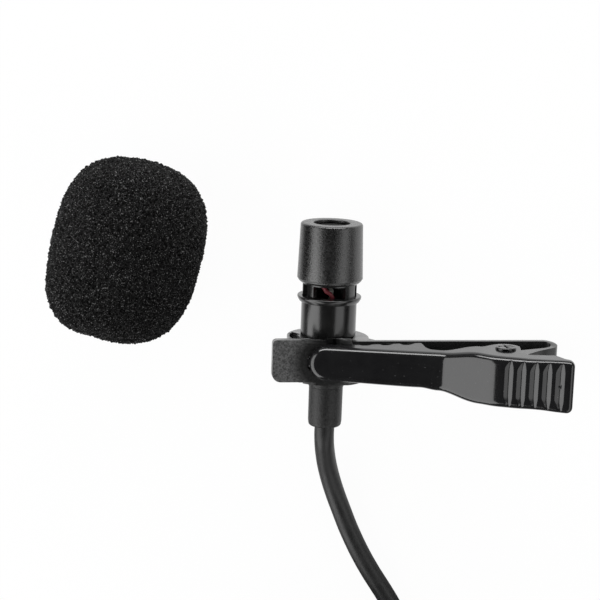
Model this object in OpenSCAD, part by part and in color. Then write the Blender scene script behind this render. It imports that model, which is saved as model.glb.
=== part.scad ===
// Lavalier microphone: a small electret capsule in a turned body, held in the ring of a
// sprung clip, with its foam windscreen beside it and its cord coiled on the table.
// It all lies on the plane z = 0. Millimetres.

/* [Body] */
// Outer radius of the plain barrel
barrel_r = 3.8; // [3.6:0.05:3.9]
// Radius of the collar that the cap stands over
flange_r = 4.4; // [4.1:0.05:4.8]
// Outer radius of the cap at its lower rim
cap_r = 4.5; // [4.3:0.05:4.8]
// Outer radius of the cap at its open end
cap_top_r = 4.25; // [4.1:0.05:4.5]
// Length of the cap
cap_len = 8.18; // [7.8:0.05:9]
// Radius of the hole in the cap's end
cap_hole_r = 2.5; // [1.8:0.05:2.8]
// Radius of the strain relief below the barrel
relief_r = 2.3; // [2.05:0.05:2.4]
// Length of the strain relief
relief_len = 5.59; // [4:0.05:7]

/* [Clip] */
// Width of the holder's tab and of the clip's back arm
arm_w = 5.6; // [5:0.1:6]
// Thickness of the back arm's strip
arm_t = 0.9; // [0.7:0.05:1]
// Slope of the back arm towards the table, in degrees
arm_tilt = 18.65; // [18:0.05:19.5]
// Sheet thickness of the lever
lever_t = 0.6; // [0.4:0.05:0.7]
// Width of the lever's jaw
jaw_w = 4.8; // [4.4:0.1:5]
// Width of the lever's finger pad
pad_w = 6.9; // [6.7:0.1:7.4]
// Number of grip grooves across the finger pad
pad_grooves = 5; // [3:1:5]
// Diameter of the hinge pin
pin_d = 2.0; // [1.6:0.1:2.2]

/* [Windscreen] */
// Diameter of the foam windscreen
foam_d = 20.8; // [20:0.1:22]
// Length of the foam windscreen
foam_len = 25; // [24:0.1:26]
// Diameter of the hole for the microphone
foam_bore_d = 8; // [7.5:0.1:9]
// Depth of the hole for the microphone
foam_bore_len = 15; // [12:0.5:17]

/* [Cord] */
// Diameter of the cord
cord_d = 2.8; // [2.6:0.05:2.8]
// Loops in the coil, four layers together
coil_loops = 14.1667; // [12.1667:1:14.1667]
// Middle radius of the coil's outermost loop
coil_r = 21.8; // [21.8:0.1:22.4]
// Radius of the plug's contacts
plug_r = 1.75; // [1.75:0.01:1.75]
// Diameter of the plug's handle
handle_d = 7.2; // [6:0.1:7.2]

/* [Hidden] */
$fn = 64;
cut = 1;                 // how far cutters run past a face
glue = 0.03;             // gap left for adhesive between turned pieces

// Where the microphone's axis lies: it runs along Y, and y = 0 there is the ring's upper face
mic_x = 2.25;
mic_y = -5.7;
mic_z = 5.65;

// Heights along the microphone's axis, from the ring's upper face
flange_y0 = 5.02;
flange_y1 = 5.86;
cap_y0 = 7.72;
cap_y1 = cap_y0 + cap_len;
cap_in_r = barrel_r - 0.05;
cap_end_t = 0.4;
neck_r = cap_in_r - glue;
neck_in_r = 2.95;
neck_top = 11.55;
slot_top = 7.2;
neck_slots = [[-28, 72], [78, 22], [292, 22]];  // start and sweep, from +Z towards +X
barrel_y0 = -6.0;
barrel_end_t = 0.8;
collar_y0 = -7.05;
collar_r = 2.45;
spigot_r = 2.0;
spigot_y1 = barrel_y0 + 2.4;
stop_y1 = spigot_y1 + 0.5;
stop_r = 2.3;            // the strain relief's own shoulder inside the barrel
relief_y0 = collar_y0 - relief_len;
cord_r = cord_d / 2;
sheath_r = cord_r + 0.35;

// The electret capsule, from its front face down
felt_t = 0.45;
mesh_t = 0.15;
mesh_y = cap_y1 - cap_end_t - mesh_t;
felt_y = mesh_y - felt_t;
can_r = 3.0;
can_len = 2.7;
can_t = 0.25;
can_y1 = felt_y - 0.05;
can_y0 = can_y1 - can_len;
can_in_r = can_r - can_t - 0.02;
board_t = 0.4;
film_t = 0.08;
hoop_t = 0.35;
spacer_t = 0.1;
plate_t = 0.4;
film_y = can_y1 - can_t - hoop_t - film_t;
spacer_y = film_y - spacer_t;
wire_r = 0.4;
wire_off = 2.2;

// The clip: its ring, tab and strip share one tilted frame of s along the arm and h out of it
ring_r = 5.65;
ring_bore_r = barrel_r + 0.05;
ring_len = 5.65;
clip_y = -2.4;
tab_s0 = -8.3;
tab_s1 = 2.5;
tab_h0 = 4.1;
tab_h1 = 5.2;
strip_h0 = 4.0;
strip_h1 = strip_h0 + arm_t;
strip_s0 = 2.6;
tongue_s0 = 0.9;
tongue_w = 4;
bend_r = 1.75;
leaf_turn = 126.7;
leaf_w = 4.9;
leaf_len = 6.3;
lug_t = 0.6;
lug_r = 1.8;
pin_x = 24.7;
pin_z = 9.5;
pin_r = pin_d / 2;
head_r = 1.42;
lever_w = 6.5;
nose_x = 1.0;
pad_x = 34.03;
facet_x = 23.65;         // where the rising facet ends and the pad begins
facet_z = 14.2;
pad_z = 14.9;
tooth_pitch = 2.7;
teeth = 4;
tooth_clear = 0.1;
groove_x = 26.1;
groove_pitch = 1.68;
groove_deep = 0.28;
groove_end = 0.45;

// The spring round the pin
spring_d = 0.6;
spring_pitch = 1.02;
spring_r = 1.55;

// The windscreen's middle and its turn on the table
foam_at = [-27.6, 11.1];
foam_turn = -13;
foam_flat = 0.6;
foam_end = foam_len / 2 - foam_flat;
foam_power = 2.8;

// The cord: round, hand-chosen points from the strain relief to the coil, and on to the plug
coil_at = [2.6, -72.4];
coil_pitch = 3.25;
coil_in_at = 30;
coil_end_len = cord_d;
tie_at = -90;            // where the tie stands, as an angle round the coil
tie_w = 5;
tie_t = 0.6;
tie_in_r = 8.7;
tie_out_r = 22.7;
tie_top = 13.5;
tie_lift = tie_t + 0.1;  // how far the loops rise over the tie
plug_at = [5.6, -100.5, 3.6];
run_points = [[mic_x, mic_y + relief_y0, mic_z], [2.25, -20, 5.65], [2.3, -22.7, 4.5], [2.6, -25.6, 3.1],
              [3.35, -28.8, 2.0], [4.5, -32, 1.5], [5.85, -35.15, 1.4], [8.2, -39.5, 1.4],
              [11.9, -45, 1.4], [15.3, -50.8, 1.4]];
tail_points = [[17.2, -90.7, 10.3], [15.3, -93.8, 8.4], [13, -96.8, 6.2], [10.8, -99.2, 4.4],
               [8.4, -100.5, 3.6]];

// The plug's lengths from its handle to its tip
boot_len = 10;
handle_len = 20;
sleeve_end = 4.3;
band = 0.6;
ring_2_end = 7.2;
ring_1_end = 9.9;
tip_start = 10.4;
tip_end = 14;
core_r = 1.15;
plug_neck_r = 1.55;
rod_r = 0.6;

// ---------------------------------------------------------------- geometry helpers

function unit(v) = v / norm(v);

// Points of an arc in the plane, from angle a0 to angle a1
function arc(c, r, a0, a1, n) = [for (i = [0:n]) let (a = a0 + (a1 - a0) * i / n) c + r * [cos(a), sin(a)]];

// A smooth step from 0 at a to 1 at b
function ease(x, a, b) = let (t = min(1, max(0, (x - a) / (b - a)))) t * t * (3 - 2 * t);

// A point of the tilted arm frame in the plane of X and Z
function arm_point(s, h) = [s * cos(arm_tilt) + h * sin(arm_tilt),
                            mic_z - s * sin(arm_tilt) + h * cos(arm_tilt)];

// The height above the table of the arm frame's line h, at X
function arm_line(x, h) = mic_z + (h - x * sin(arm_tilt)) / cos(arm_tilt);

// Rings of a tube swept along a path, square to it, with the given axis never along the path
function tangent(p, i) = unit(p[min(i + 1, len(p) - 1)] - p[max(i - 1, 0)]);
function tube_points(p, r, sides, axis, first) =
    [for (i = [0:len(p) - 1])
        let (t = tangent(p, i), u = unit(cross(t, axis)), v = cross(u, t))
        for (k = [0:sides - 1])
            let (a = first + 360 * k / sides) p[i] + r * (cos(a) * u + sin(a) * v)];
function tube_faces(rings, sides) = concat(
    [for (k = [1:sides - 2]) [0, k + 1, k]],
    [for (i = [0:rings - 2], k = [0:sides - 1], half = [0:1])
        let (a = i * sides + k, b = i * sides + (k + 1) % sides)
        half == 0 ? [a, b, a + sides] : [b, b + sides, a + sides]],
    [for (k = [1:sides - 2]) let (e = (rings - 1) * sides) [e, e + k, e + k + 1]]);

// The least distance between two stretches of a path that lie a half loop or more apart
function least_gap(p, apart, d) =
    min([for (i = [0:len(p) - 1 - apart], j = [i + apart:len(p) - 1]) norm(p[i] - p[j])]) - d;

module tube(path, r, sides, axis = [0, 0, 1], first = 0) {
    polyhedron(tube_points(path, r, sides, axis, first), tube_faces(len(path), sides), convexity = 10);
}

// Turned pieces stand on the microphone's axis, their z along it towards the head
module along_mic() {
    translate([mic_x, mic_y, mic_z]) rotate([-90, 0, 0]) children();
}

// A turned tube from y0 to y1
module sleeve(y0, y1, r_out, r_in) {
    translate([0, 0, y0]) difference() {
        cylinder(h = y1 - y0, r = r_out);
        translate([0, 0, -cut]) cylinder(h = y1 - y0 + 2 * cut, r = r_in);
    }
}

// The clip's pieces use X and Z from the microphone's axis on the table
module at_clip() {
    translate([mic_x, mic_y, 0]) children();
}

// An outline in X and Z made as thick as w across the clip, about its middle plane
module across(w, off = 0) {
    translate([0, clip_y + off + w / 2, 0]) rotate([90, 0, 0]) linear_extrude(w) children();
}

// The tilted frame of the ring, tab and strip
module in_arm() {
    translate([0, 0, mic_z]) rotate([0, arm_tilt, 0]) children();
}

// ---------------------------------------------------------------- microphone head

module head_cap() {
    rim = 0.6;
    edge = 0.35;
    color("#1b1b1c") along_mic() rotate_extrude()
        polygon(concat(
            [[cap_in_r, cap_y0]],
            arc([cap_r - rim, cap_y0 + rim], rim, -90, 0, 5),
            arc([cap_top_r - edge, cap_y1 - edge], edge, 0, 90, 4),
            [[cap_hole_r, cap_y1], [cap_hole_r, cap_y1 - cap_end_t], [cap_in_r, cap_y1 - cap_end_t]]));
}

module top_mesh() {
    gap = 0.34;
    step = 0.52;
    reach = 4;
    color("#a9a9a6") along_mic() translate([0, 0, mesh_y]) linear_extrude(mesh_t) difference() {
        circle(r = neck_r);
        for (i = [-reach:reach], j = [-reach:reach])
            if (norm([i, j]) * step < cap_hole_r - gap / 2)
                translate([i * step, j * step]) square(gap, center = true);
    }
}

module dust_felt() {
    color("#2b2a29") along_mic() translate([0, 0, felt_y]) cylinder(h = felt_t, r = neck_r);
}

module capsule_can() {
    port_r = 0.5;
    lip = 0.35;
    color("#c9c9c6") along_mic() rotate_extrude()
        polygon([[port_r, can_y1], [can_r, can_y1], [can_r, can_y0 - can_t], [can_in_r - lip, can_y0 - can_t],
                 [can_in_r - lip, can_y0], [can_in_r + 0.02, can_y0], [can_in_r + 0.02, can_y1 - can_t],
                 [port_r, can_y1 - can_t]]);
}

module capsule_diaphragm() {
    color("#b8b49a") along_mic() {
        translate([0, 0, film_y]) cylinder(h = film_t, r = can_in_r);
        sleeve(film_y + film_t, can_y1 - can_t, can_in_r, can_in_r - 0.6);
    }
}

module capsule_spacer() {
    color("#d8d2c0") along_mic() sleeve(spacer_y, film_y, can_in_r, can_in_r - 0.5);
}

module capsule_backplate() {
    vent_at = 1.4;
    vent_r = 0.3;
    plate_y = spacer_y - plate_t;
    color("#b98b46") along_mic() difference() {
        translate([0, 0, plate_y]) cylinder(h = plate_t, r = can_in_r - 0.45);
        for (a = [45:90:315])
            rotate(a) translate([vent_at, 0, plate_y - cut]) cylinder(h = plate_t + 2 * cut, r = vent_r);
    }
}

module capsule_insulator() {
    color("#e3e0d6") along_mic() sleeve(can_y0 + board_t, spacer_y, can_in_r, can_in_r - 0.4);
}

module capsule_board() {
    pad_r = 0.65;
    pad_t = 0.12;
    color("#2f6b45") along_mic() {
        translate([0, 0, can_y0]) cylinder(h = board_t, r = can_in_r);
        for (a = [-75, 105])
            rotate(a) translate([1.3, 0, can_y0 - pad_t]) cylinder(h = pad_t, r = pad_r);
    }
}

module capsule_transistor() {
    color("#202020") along_mic()
        translate([-0.8, -0.6, can_y0 + board_t]) cube([1.6, 1.2, 0.7]);
}

module capsule_boot() {
    color("#2a2a2a") along_mic() sleeve(neck_top, can_y1, neck_r, can_r);
}

module barrel() {
    end_round = 0.25;
    rim = 0.2;
    color("#232324") along_mic() difference() {
        union() {
            rotate_extrude() polygon(concat(
                [[0, barrel_y0]],
                arc([barrel_r - end_round, barrel_y0 + end_round], end_round, -90, 0, 4),
                [[barrel_r, flange_y0]],
                arc([flange_r - rim, flange_y0 + rim], rim, -90, 0, 3),
                arc([flange_r - rim, flange_y1 - rim], rim, 0, 90, 3),
                [[neck_r, flange_y1], [neck_r, neck_top], [0, neck_top]]));
        }
        translate([0, 0, barrel_y0 + barrel_end_t]) cylinder(h = 30, r = neck_in_r);
        translate([0, 0, barrel_y0 - cut]) cylinder(h = 4, r = spigot_r);
        for (s = neck_slots)
            translate([0, 0, flange_y1]) linear_extrude(slot_top - flange_y1)
                polygon(concat([[0, 0]], arc([0, 0], 2 * flange_r, s[0] - 90, s[0] + s[1] - 90, 4)));
    }
}

// One lead: down beside the neck's wall, then in to the cable's end
module lead(turn) {
    knee = 5;
    foot = 0.2;
    foot_off = 0.65;
    lean = atan2(wire_off - foot_off, knee - foot);
    rotate(turn) {
        translate([wire_off, 0, knee]) cylinder(h = can_y0 - can_t - 0.05 - knee, r = wire_r, $fn = 24);
        translate([wire_off, 0, knee]) sphere(r = wire_r, $fn = 24);
        translate([foot_off, 0, foot]) rotate([0, lean, 0])
            cylinder(h = norm([wire_off - foot_off, knee - foot]), r = wire_r, $fn = 24);
    }
}

module red_wire() {
    color("#b3202a") along_mic() lead(-75);
}

module white_wire() {
    color("#e6e4de") along_mic() lead(105);
}

module inner_cable() {
    color("#161616") along_mic() translate([0, 0, relief_y0]) cylinder(h = -relief_y0 - 0.4, r = cord_r);
}

module cable_crimp() {
    color("#b7b3a6") along_mic() sleeve(-2.9, -1.1, 2.1, cord_r + 0.01);
}

module end_collar() {
    color("#202021") along_mic() {
        sleeve(collar_y0, barrel_y0, collar_r, sheath_r);
        sleeve(barrel_y0, spigot_y1, spigot_r - 0.01, sheath_r);
    }
}

module strain_relief() {
    toe = 0.6;
    neck = sheath_r - 0.01;
    color("#262626") along_mic() difference() {
        rotate_extrude() polygon(concat(
            [[0, relief_y0]],
            arc([relief_r - toe, relief_y0 + toe], toe, -90, 0, 5),
            [[relief_r, collar_y0], [neck, collar_y0], [neck, spigot_y1], [stop_r, spigot_y1],
             [stop_r, stop_y1], [0, stop_y1]]));
        translate([0, 0, relief_y0 - cut]) cylinder(h = 20, r = cord_r + 0.01);
    }
}

// ---------------------------------------------------------------- clip

// What the strip takes up inside the holder, as a solid or as its pocket
module strip_end() {
    translate([strip_s0, clip_y - arm_w / 2, strip_h0]) cube([6, arm_w, arm_t]);
    translate([tongue_s0, clip_y - tongue_w / 2, strip_h0]) cube([strip_s0 - tongue_s0 + cut, tongue_w, arm_t]);
}

module corner(r) {
    difference() {
        translate([-cut, -cut]) square(r + cut);
        translate([r, r]) circle(r = r);
    }
}

module mic_holder() {
    slit = 0.5;
    upper_r = 0.55;
    lower_r = 1.2;
    y0 = clip_y - arm_w / 2;
    y1 = clip_y + arm_w / 2;
    color("#3a3a3b") at_clip() in_arm() difference() {
        union() {
            intersection() {
                rotate([90, 0, 0]) cylinder(h = ring_len, r = ring_r);
                translate([-10, -10, -10]) cube([20, 20, 10 + tab_h1]);
            }
            translate([0, 0, tab_h0]) linear_extrude(tab_h1 - tab_h0) difference() {
                translate([tab_s0, y0]) square([tab_s1 - tab_s0, arm_w]);
                translate([tab_s0, y1]) mirror([0, 1]) corner(upper_r);
                translate([tab_s0, y0]) corner(lower_r);
            }
            across(arm_w) polygon([[2.9, strip_h0], [6.2, strip_h0], [5.2, 2.4], [3.9, 1.6]]);
        }
        translate([0, cut, 0]) rotate([90, 0, 0]) cylinder(h = ring_len + 2 * cut, r = ring_bore_r);
        translate([-8, -ring_len - cut, tab_h0 - slit]) cube([7, ring_len + 2 * cut, slit]);
        strip_end();
    }
}

bend_at = arm_point((mic_z + (strip_h0 + bend_r) * cos(arm_tilt) - bend_r) / sin(arm_tilt), strip_h0 + bend_r);
leaf_dir = [cos(leaf_turn), sin(leaf_turn)];
leaf_out = [sin(leaf_turn), -cos(leaf_turn)];
leaf_foot = bend_at + bend_r * leaf_out;

module clip_base() {
    reach = 6;
    pin_at = [pin_x, pin_z];
    start = arm_point(strip_s0, strip_h0);
    color("#2a2a2b") at_clip() difference() {
        union() {
            in_arm() translate([tongue_s0, clip_y - tongue_w / 2, strip_h0])
                cube([strip_s0 - tongue_s0 + cut, tongue_w, arm_t]);
            across(arm_w) {
                polygon([start, arm_point(strip_s0, strip_h1),
                         bend_at - (bend_r - arm_t) * [sin(arm_tilt), cos(arm_tilt)],
                         bend_at - bend_r * [sin(arm_tilt), cos(arm_tilt)]]);
            }
            across(leaf_w) {
                intersection() {
                    difference() {
                        translate(bend_at) circle(r = bend_r);
                        translate(bend_at) circle(r = bend_r - arm_t);
                    }
                    polygon([bend_at, bend_at - reach * [sin(arm_tilt), cos(arm_tilt)], bend_at + [4, -6],
                             bend_at + [6, 0], bend_at + reach * leaf_out]);
                }
                polygon([leaf_foot, leaf_foot + leaf_len * leaf_dir,
                         leaf_foot + leaf_len * leaf_dir - arm_t * leaf_out, leaf_foot - arm_t * leaf_out]);
            }
            for (side = [-1, 1])
                across(lug_t, side * (leaf_w - lug_t) / 2) {
                    translate(pin_at) circle(r = lug_r);
                    polygon([pin_at + lug_r * leaf_out, pin_at - lug_r * leaf_out,
                             leaf_foot + (leaf_len - 1.8) * leaf_dir - arm_t * leaf_out,
                             leaf_foot + (leaf_len - 1.8) * leaf_dir]);
                }
        }
        across(leaf_w + 2 * cut) translate(pin_at) circle(r = pin_r + 0.05);
    }
}

// Half the lever's width along X: a round nose, a straight jaw and a wider pad
function half_w(x) =
    jaw_w / 2 + (lever_w - jaw_w) / 2 * ease(x, 16, 21.5) + (pad_w - lever_w) / 2 * ease(x, 27.5, 33);

// How much further its lower side stands out, from the jaw's middle on
function flare(x) =
    0.22 * ease(x, 2, 13) + 0.3 * ease(x, 13.6, 16) - 0.12 * ease(x, 19, 23) - 0.26 * ease(x, 26.3, 31);

module lever_plan(inset) {
    n = jaw_w / 2 - inset;
    r = 0.8;
    stations = [5, 8, 11, 13.6, 14.4, 15.2, 16, 17.1, 18.2, 19.3, 20.4, 21.5, 23, 26.3, 27.5, 29, 30.5, 32];
    end_x = pad_x - r - inset;
    upper = concat(arc([nose_x, 0], n, 180, 90, 10), [for (x = stations) [x, half_w(x) - inset]],
                   arc([end_x, half_w(pad_x) - r - inset], r, 90, 0, 4));
    lower = concat(arc([end_x, -half_w(pad_x) - flare(pad_x) + r + inset], r, 0, -90, 4),
                   [for (k = [len(stations) - 1:-1:0])
                       [stations[k], -half_w(stations[k]) - flare(stations[k]) + inset]],
                   arc([nose_x, 0], n, -90, -162, 8));
    translate([0, clip_y]) polygon(concat(upper, lower));
}

// The lever's outer face along X and Z, from nose to pad
lever_top = [[-1.5, 12.7], [4.5, 12.2], [16.5, 11.0], [facet_x, facet_z], [pad_x + 0.1, pad_z]];
function pad_top(x) = facet_z + (pad_z - facet_z) * (x - facet_x) / (pad_x + 0.1 - facet_x);

// The lower edge of its flanges, from pad to nose: ear, throat and a row of rounded teeth
function tooth_x(k) = 4.5 + tooth_pitch * k;
flange_edge = concat(
    [[pad_x + 0.1, 14.0], [32.7, 13.4], [31.4, 11.8], [28, 11.8], [26.8, 11.0], [26.5, 9.9]],
    arc([pin_x, pin_z], 2.5, -35, -140, 6),
    [[22.3, 8.5], [21.6, 9.35], [15.4, 9.35], [14.6, 9.3], [13.8, 8.5], [13.2, 6.8]],
    [for (k = [teeth - 1:-1:0], p = [0:3])
        let (x = tooth_x(k) + [0.25, -0.25, -0.85, -1.85][p], rise = [0, 0, 0.95, 0.95][p])
        if (x > 4.2) [x, arm_line(x, strip_h1 + tooth_clear) + rise]],
    [[tab_s1 + 1.55, arm_line(tab_s1 + 1.55, tab_h1 + tooth_clear)],
     [-1.5, arm_line(-1.5, tab_h1 + tooth_clear)]]);

// A grip groove: a long slope down towards the pad's end and a steep flank up again
module pad_groove(x) {
    slope = 0.62;
    flank = 0.43;
    across(pad_w - 2 * groove_end) polygon([
        [x - flank - slope, pad_top(x - flank - slope)], [x - flank, pad_top(x) - groove_deep], [x, pad_top(x)],
        [x, pad_top(x) + cut], [x - flank - slope, pad_top(x) + cut]]);
}

module clip_lever() {
    dip = [for (p = lever_top) p - [0, lever_t]];
    color("#1d1d1e") at_clip() difference() {
        intersection() {
            across(10) polygon(concat(lever_top, flange_edge));
            linear_extrude(30) lever_plan(0);
        }
        for (k = [0:pad_grooves - 1])
            pad_groove(groove_x + groove_pitch * k);
        intersection() {
            across(10) polygon(concat(dip, [[pad_x + 1, 0], [-4, 0]]));
            linear_extrude(30) lever_plan(lever_t);
        }
        across(10) translate([pin_x, pin_z]) circle(r = pin_r);
    }
}

module clip_pin() {
    head = 0.4;
    spread = 0.7;
    recess = 0.22;
    recess_w = 0.26;
    y_up = lever_w / 2;
    y_low = lever_w / 2 + flare(pin_x);
    color("#3c3c3e") at_clip() translate([pin_x, clip_y, pin_z]) rotate([90, 0, 0]) difference() {
        union() {
            translate([0, 0, -y_up - head]) cylinder(h = head, r = head_r);
            translate([0, 0, -y_up - 0.1]) cylinder(h = y_up + y_low + 0.2, r = pin_r);
            translate([0, 0, y_low]) cylinder(h = spread, r1 = head_r, r2 = head_r - 0.3);
        }
        for (a = [0, 90])
            rotate(a) translate([-2, -recess_w / 2, -y_up - head - cut]) cube([4, recess_w, recess + cut]);
    }
}

// The torsion spring: one leg lies on the leaf, the coil goes round the pin, the other leg
// presses up under the finger pad
spring_a0 = leaf_turn - 90;
spring_a1 = -42.1 + 3 * 360;
spring_loops = (spring_a1 - spring_a0) / 360;
spring_y0 = -spring_pitch * spring_loops / 2;
function spring_at(a) = [pin_x + spring_r * cos(a), clip_y + spring_y0 + spring_pitch * (a - spring_a0) / 360,
                         pin_z + spring_r * sin(a)];
spring_coil = [for (i = [0:ceil(8 * spring_loops)])
               spring_at(spring_a0 + (spring_a1 - spring_a0) * i / ceil(8 * spring_loops))];
spring_path = concat(
    [spring_at(spring_a0) + 4.6 * [-leaf_dir[0] - 0.03, 0, -leaf_dir[1] - 0.02]],
    spring_coil,
    [spring_at(spring_a1) + 6.6 * [cos(47.9), 0, sin(47.9)]]);

module clip_spring() {
    echo(spring_gap = least_gap(spring_coil, 7, spring_d));
    color("#9a9a98") at_clip() tube(spring_path, spring_d / 2, 6, [0, 1, 0]);
}

// ---------------------------------------------------------------- windscreen

// The foam's outline: rounder than a cylinder and fuller than an ellipse
function foam_edge(a) = [foam_d / 2 * pow(cos(a), 2 / foam_power),
                         foam_len / 2 * sign(sin(a)) * pow(abs(sin(a)), 2 / foam_power)];

foam_a0 = asin(pow(foam_end / (foam_len / 2), foam_power / 2));

module windscreen() {
    cuts = 26;
    color("#141414") translate([mic_x + foam_at[0], mic_y + foam_at[1], foam_d / 2])
        rotate([0, 0, foam_turn]) rotate([-90, 0, 0]) difference() {
            rotate_extrude() polygon(concat(
                [[0, -foam_end]],
                [for (i = [0:cuts - 1]) foam_edge(-foam_a0 + (90 + foam_a0) * i / cuts)],
                [[0, foam_len / 2]]));
            translate([0, 0, -foam_end - cut]) cylinder(h = foam_bore_len + cut, r = foam_bore_d / 2);
        }
}

// ---------------------------------------------------------------- cord

// Four layers spiral in, out, in and out again, and climb a layer where the spiral turns back
coil_layers = 4;
layer_loops = coil_loops / coil_layers;
function fold(t) = let (f = t / layer_loops, n = floor(f)) n % 2 == 0 ? f - n : 1 - (f - n);
function rise(t, k) = min(1, max(0, (t - k * layer_loops) * 2 + 0.5));
function climb(t) = rise(t, 1) + rise(t, 2) + rise(t, 3);
function from_tie(a) = let (d = (a - tie_at) % 360) min(abs(d), 360 - abs(d));
function coil_height(t, a) =
    cord_r + coil_pitch * climb(t) + tie_lift * (1 - ease(from_tie(a), 18, 60));
function coil_point(t) =
    let (a = coil_in_at - 360 * t, r = coil_r - coil_pitch * layer_loops * fold(t))
    [coil_at[0] + r * cos(a), coil_at[1] + r * sin(a), coil_height(t, a)];
coil_steps = round(24 * coil_loops);
coil_start_dir = [sin(coil_in_at), -cos(coil_in_at), 0];
coil_out_at = coil_in_at - 360 * coil_loops;
coil_end_dir = [sin(coil_out_at), -cos(coil_out_at), 0];
coil_turns = [for (i = [0:coil_steps]) coil_point(coil_loops * i / coil_steps)];
coil_path = concat([coil_turns[0] - coil_end_len * coil_start_dir], coil_turns,
                   [coil_turns[coil_steps] + coil_end_len * coil_end_dir]);
coil_in = coil_path[0];
coil_out = coil_path[coil_steps + 2];
run_path = concat(run_points, [coil_in - coil_end_len * coil_start_dir, coil_in]);
tail_path = concat([coil_out, coil_out + coil_end_len * coil_end_dir], tail_points, [plug_at]);
function path_len(p, i = 1) = i == len(p) ? 0 : norm(p[i] - p[i - 1]) + path_len(p, i + 1);

module cord_run() {
    echo(cord_length = path_len(run_path) + path_len(coil_path) + path_len(tail_path));
    color("#141414") tube(run_path, cord_r, 8, first = 22.5);
}

module cord_coil() {
    echo(coil_gap = least_gap(coil_turns, 12, cord_d));
    color("#141414") tube(coil_path, cord_r, 6, first = 30);
}

module cord_tail() {
    color("#141414") tube(tail_path, cord_r, 8, first = 22.5);
}

module rounded(x0, y0, x1, y1, r) {
    translate([x0 + r, y0]) square([x1 - x0 - 2 * r, y1 - y0]);
    translate([x0, y0 + r]) square([x1 - x0, y1 - y0 - 2 * r]);
    for (x = [x0 + r, x1 - r], y = [y0 + r, y1 - r])
        translate([x, y]) circle(r = r);
}

// A strap round the coil's loops, closed on itself
module cord_tie() {
    fold_r = 1.4;
    color("#242424") translate([coil_at[0], coil_at[1], 0]) rotate(tie_at)
        translate([0, tie_w / 2, 0]) rotate([90, 0, 0]) linear_extrude(tie_w) difference() {
            rounded(tie_in_r - tie_t, 0, tie_out_r + tie_t, tie_top + tie_t, fold_r);
            rounded(tie_in_r, tie_t, tie_out_r, tie_top, fold_r - tie_t);
        }
}

// ---------------------------------------------------------------- plug

// The plug lies along -X from the cord's end, its z towards the tip
module along_plug() {
    translate(plug_at) rotate([0, -90, 0]) children();
}

// The contacts' own lengths are counted from the handle's face
module at_contacts() {
    along_plug() translate([0, 0, boot_len + handle_len]) children();
}

module plug_boot() {
    boot_r = 2.6;
    color("#1a1a1a") along_plug() difference() {
        rotate_extrude() polygon([[0, 0], [cord_r + 0.5, 0], [boot_r, 1.5], [boot_r, boot_len],
                                  [boot_r - 0.5, boot_len], [boot_r - 0.5, boot_len + 4], [0, boot_len + 4]]);
        translate([0, 0, 3]) cylinder(h = boot_len + 4, r = cord_r);
    }
}

module plug_handle() {
    r = handle_d / 2;
    edge = 0.5;
    boot_hole = 2.12;
    hollow_r = 2.6;
    hollow_y = 4.2;
    lip = handle_len - 2;
    color("#1f1f20") along_plug() translate([0, 0, boot_len]) rotate_extrude() polygon(concat(
        [[boot_hole, 0]],
        arc([r - edge, edge], edge, -90, 0, 3),
        arc([r - edge, handle_len - edge], edge, 0, 90, 3),
        [[plug_neck_r + glue, handle_len], [plug_neck_r + glue, lip], [hollow_r, lip],
         [hollow_r, hollow_y], [boot_hole, hollow_y]]));
}

module plug_sleeve() {
    color("#c9a24a") at_contacts() {
        sleeve(0, sleeve_end, plug_r, core_r + 0.02);
        sleeve(-2.6, 0.5, plug_neck_r, core_r + 0.02);
        sleeve(-6, -2.1, 2.5, core_r + 0.02);
    }
}

module plug_ring_2() {
    color("#c9a24a") at_contacts() sleeve(sleeve_end + band, ring_2_end, plug_r, core_r + 0.02);
}

module plug_ring_1() {
    color("#c9a24a") at_contacts() sleeve(ring_2_end + band, ring_1_end, plug_r, core_r + 0.02);
}

module plug_tip() {
    color("#c9a24a") at_contacts() rotate_extrude() polygon([
        [0, -8], [rod_r, -8], [rod_r, tip_start], [plug_r, tip_start], [plug_r, tip_start + 0.2],
        [1.15, 11.3], [1.15, 11.6], [1.7, 12.3], [1.5, 12.9], [0.45, tip_end], [0, tip_end]]);
}

module plug_insulator() {
    color("#141414") at_contacts() difference() {
        union() {
            translate([0, 0, -7]) cylinder(h = 7 + tip_start, r = core_r);
            for (y = [sleeve_end, ring_2_end, ring_1_end])
                translate([0, 0, y]) cylinder(h = min(band, tip_start - y), r = plug_r);
        }
        translate([0, 0, -7 - cut]) cylinder(h = 7 + tip_start + 2 * cut, r = rod_r + 0.01);
    }
}

// ---------------------------------------------------------------- assembly

head_cap();
top_mesh();
dust_felt();
capsule_can();
capsule_diaphragm();
capsule_spacer();
capsule_backplate();
capsule_insulator();
capsule_board();
capsule_transistor();
capsule_boot();
barrel();
red_wire();
white_wire();
inner_cable();
cable_crimp();
end_collar();
strain_relief();
mic_holder();
clip_base();
clip_lever();
clip_pin();
clip_spring();
windscreen();
cord_run();
cord_coil();
cord_tail();
cord_tie();
plug_boot();
plug_handle();
plug_sleeve();
plug_ring_2();
plug_ring_1();
plug_tip();
plug_insulator();
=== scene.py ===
# %% [markdown]
# # A lavalier microphone
# The object is a small clip-on microphone: a turned metal body with a capsule in its cap,
# a sprung clip, a foam windscreen and a thin cord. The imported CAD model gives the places
# and the motion, and this notebook gives the looks. Loading it first means that every new
# piece is made in the same frame, in metres, so nothing has to be fitted afterwards.

# %% Load the frame
import math

import bmesh
import bpy
from mathutils import Matrix, Vector, noise


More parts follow.
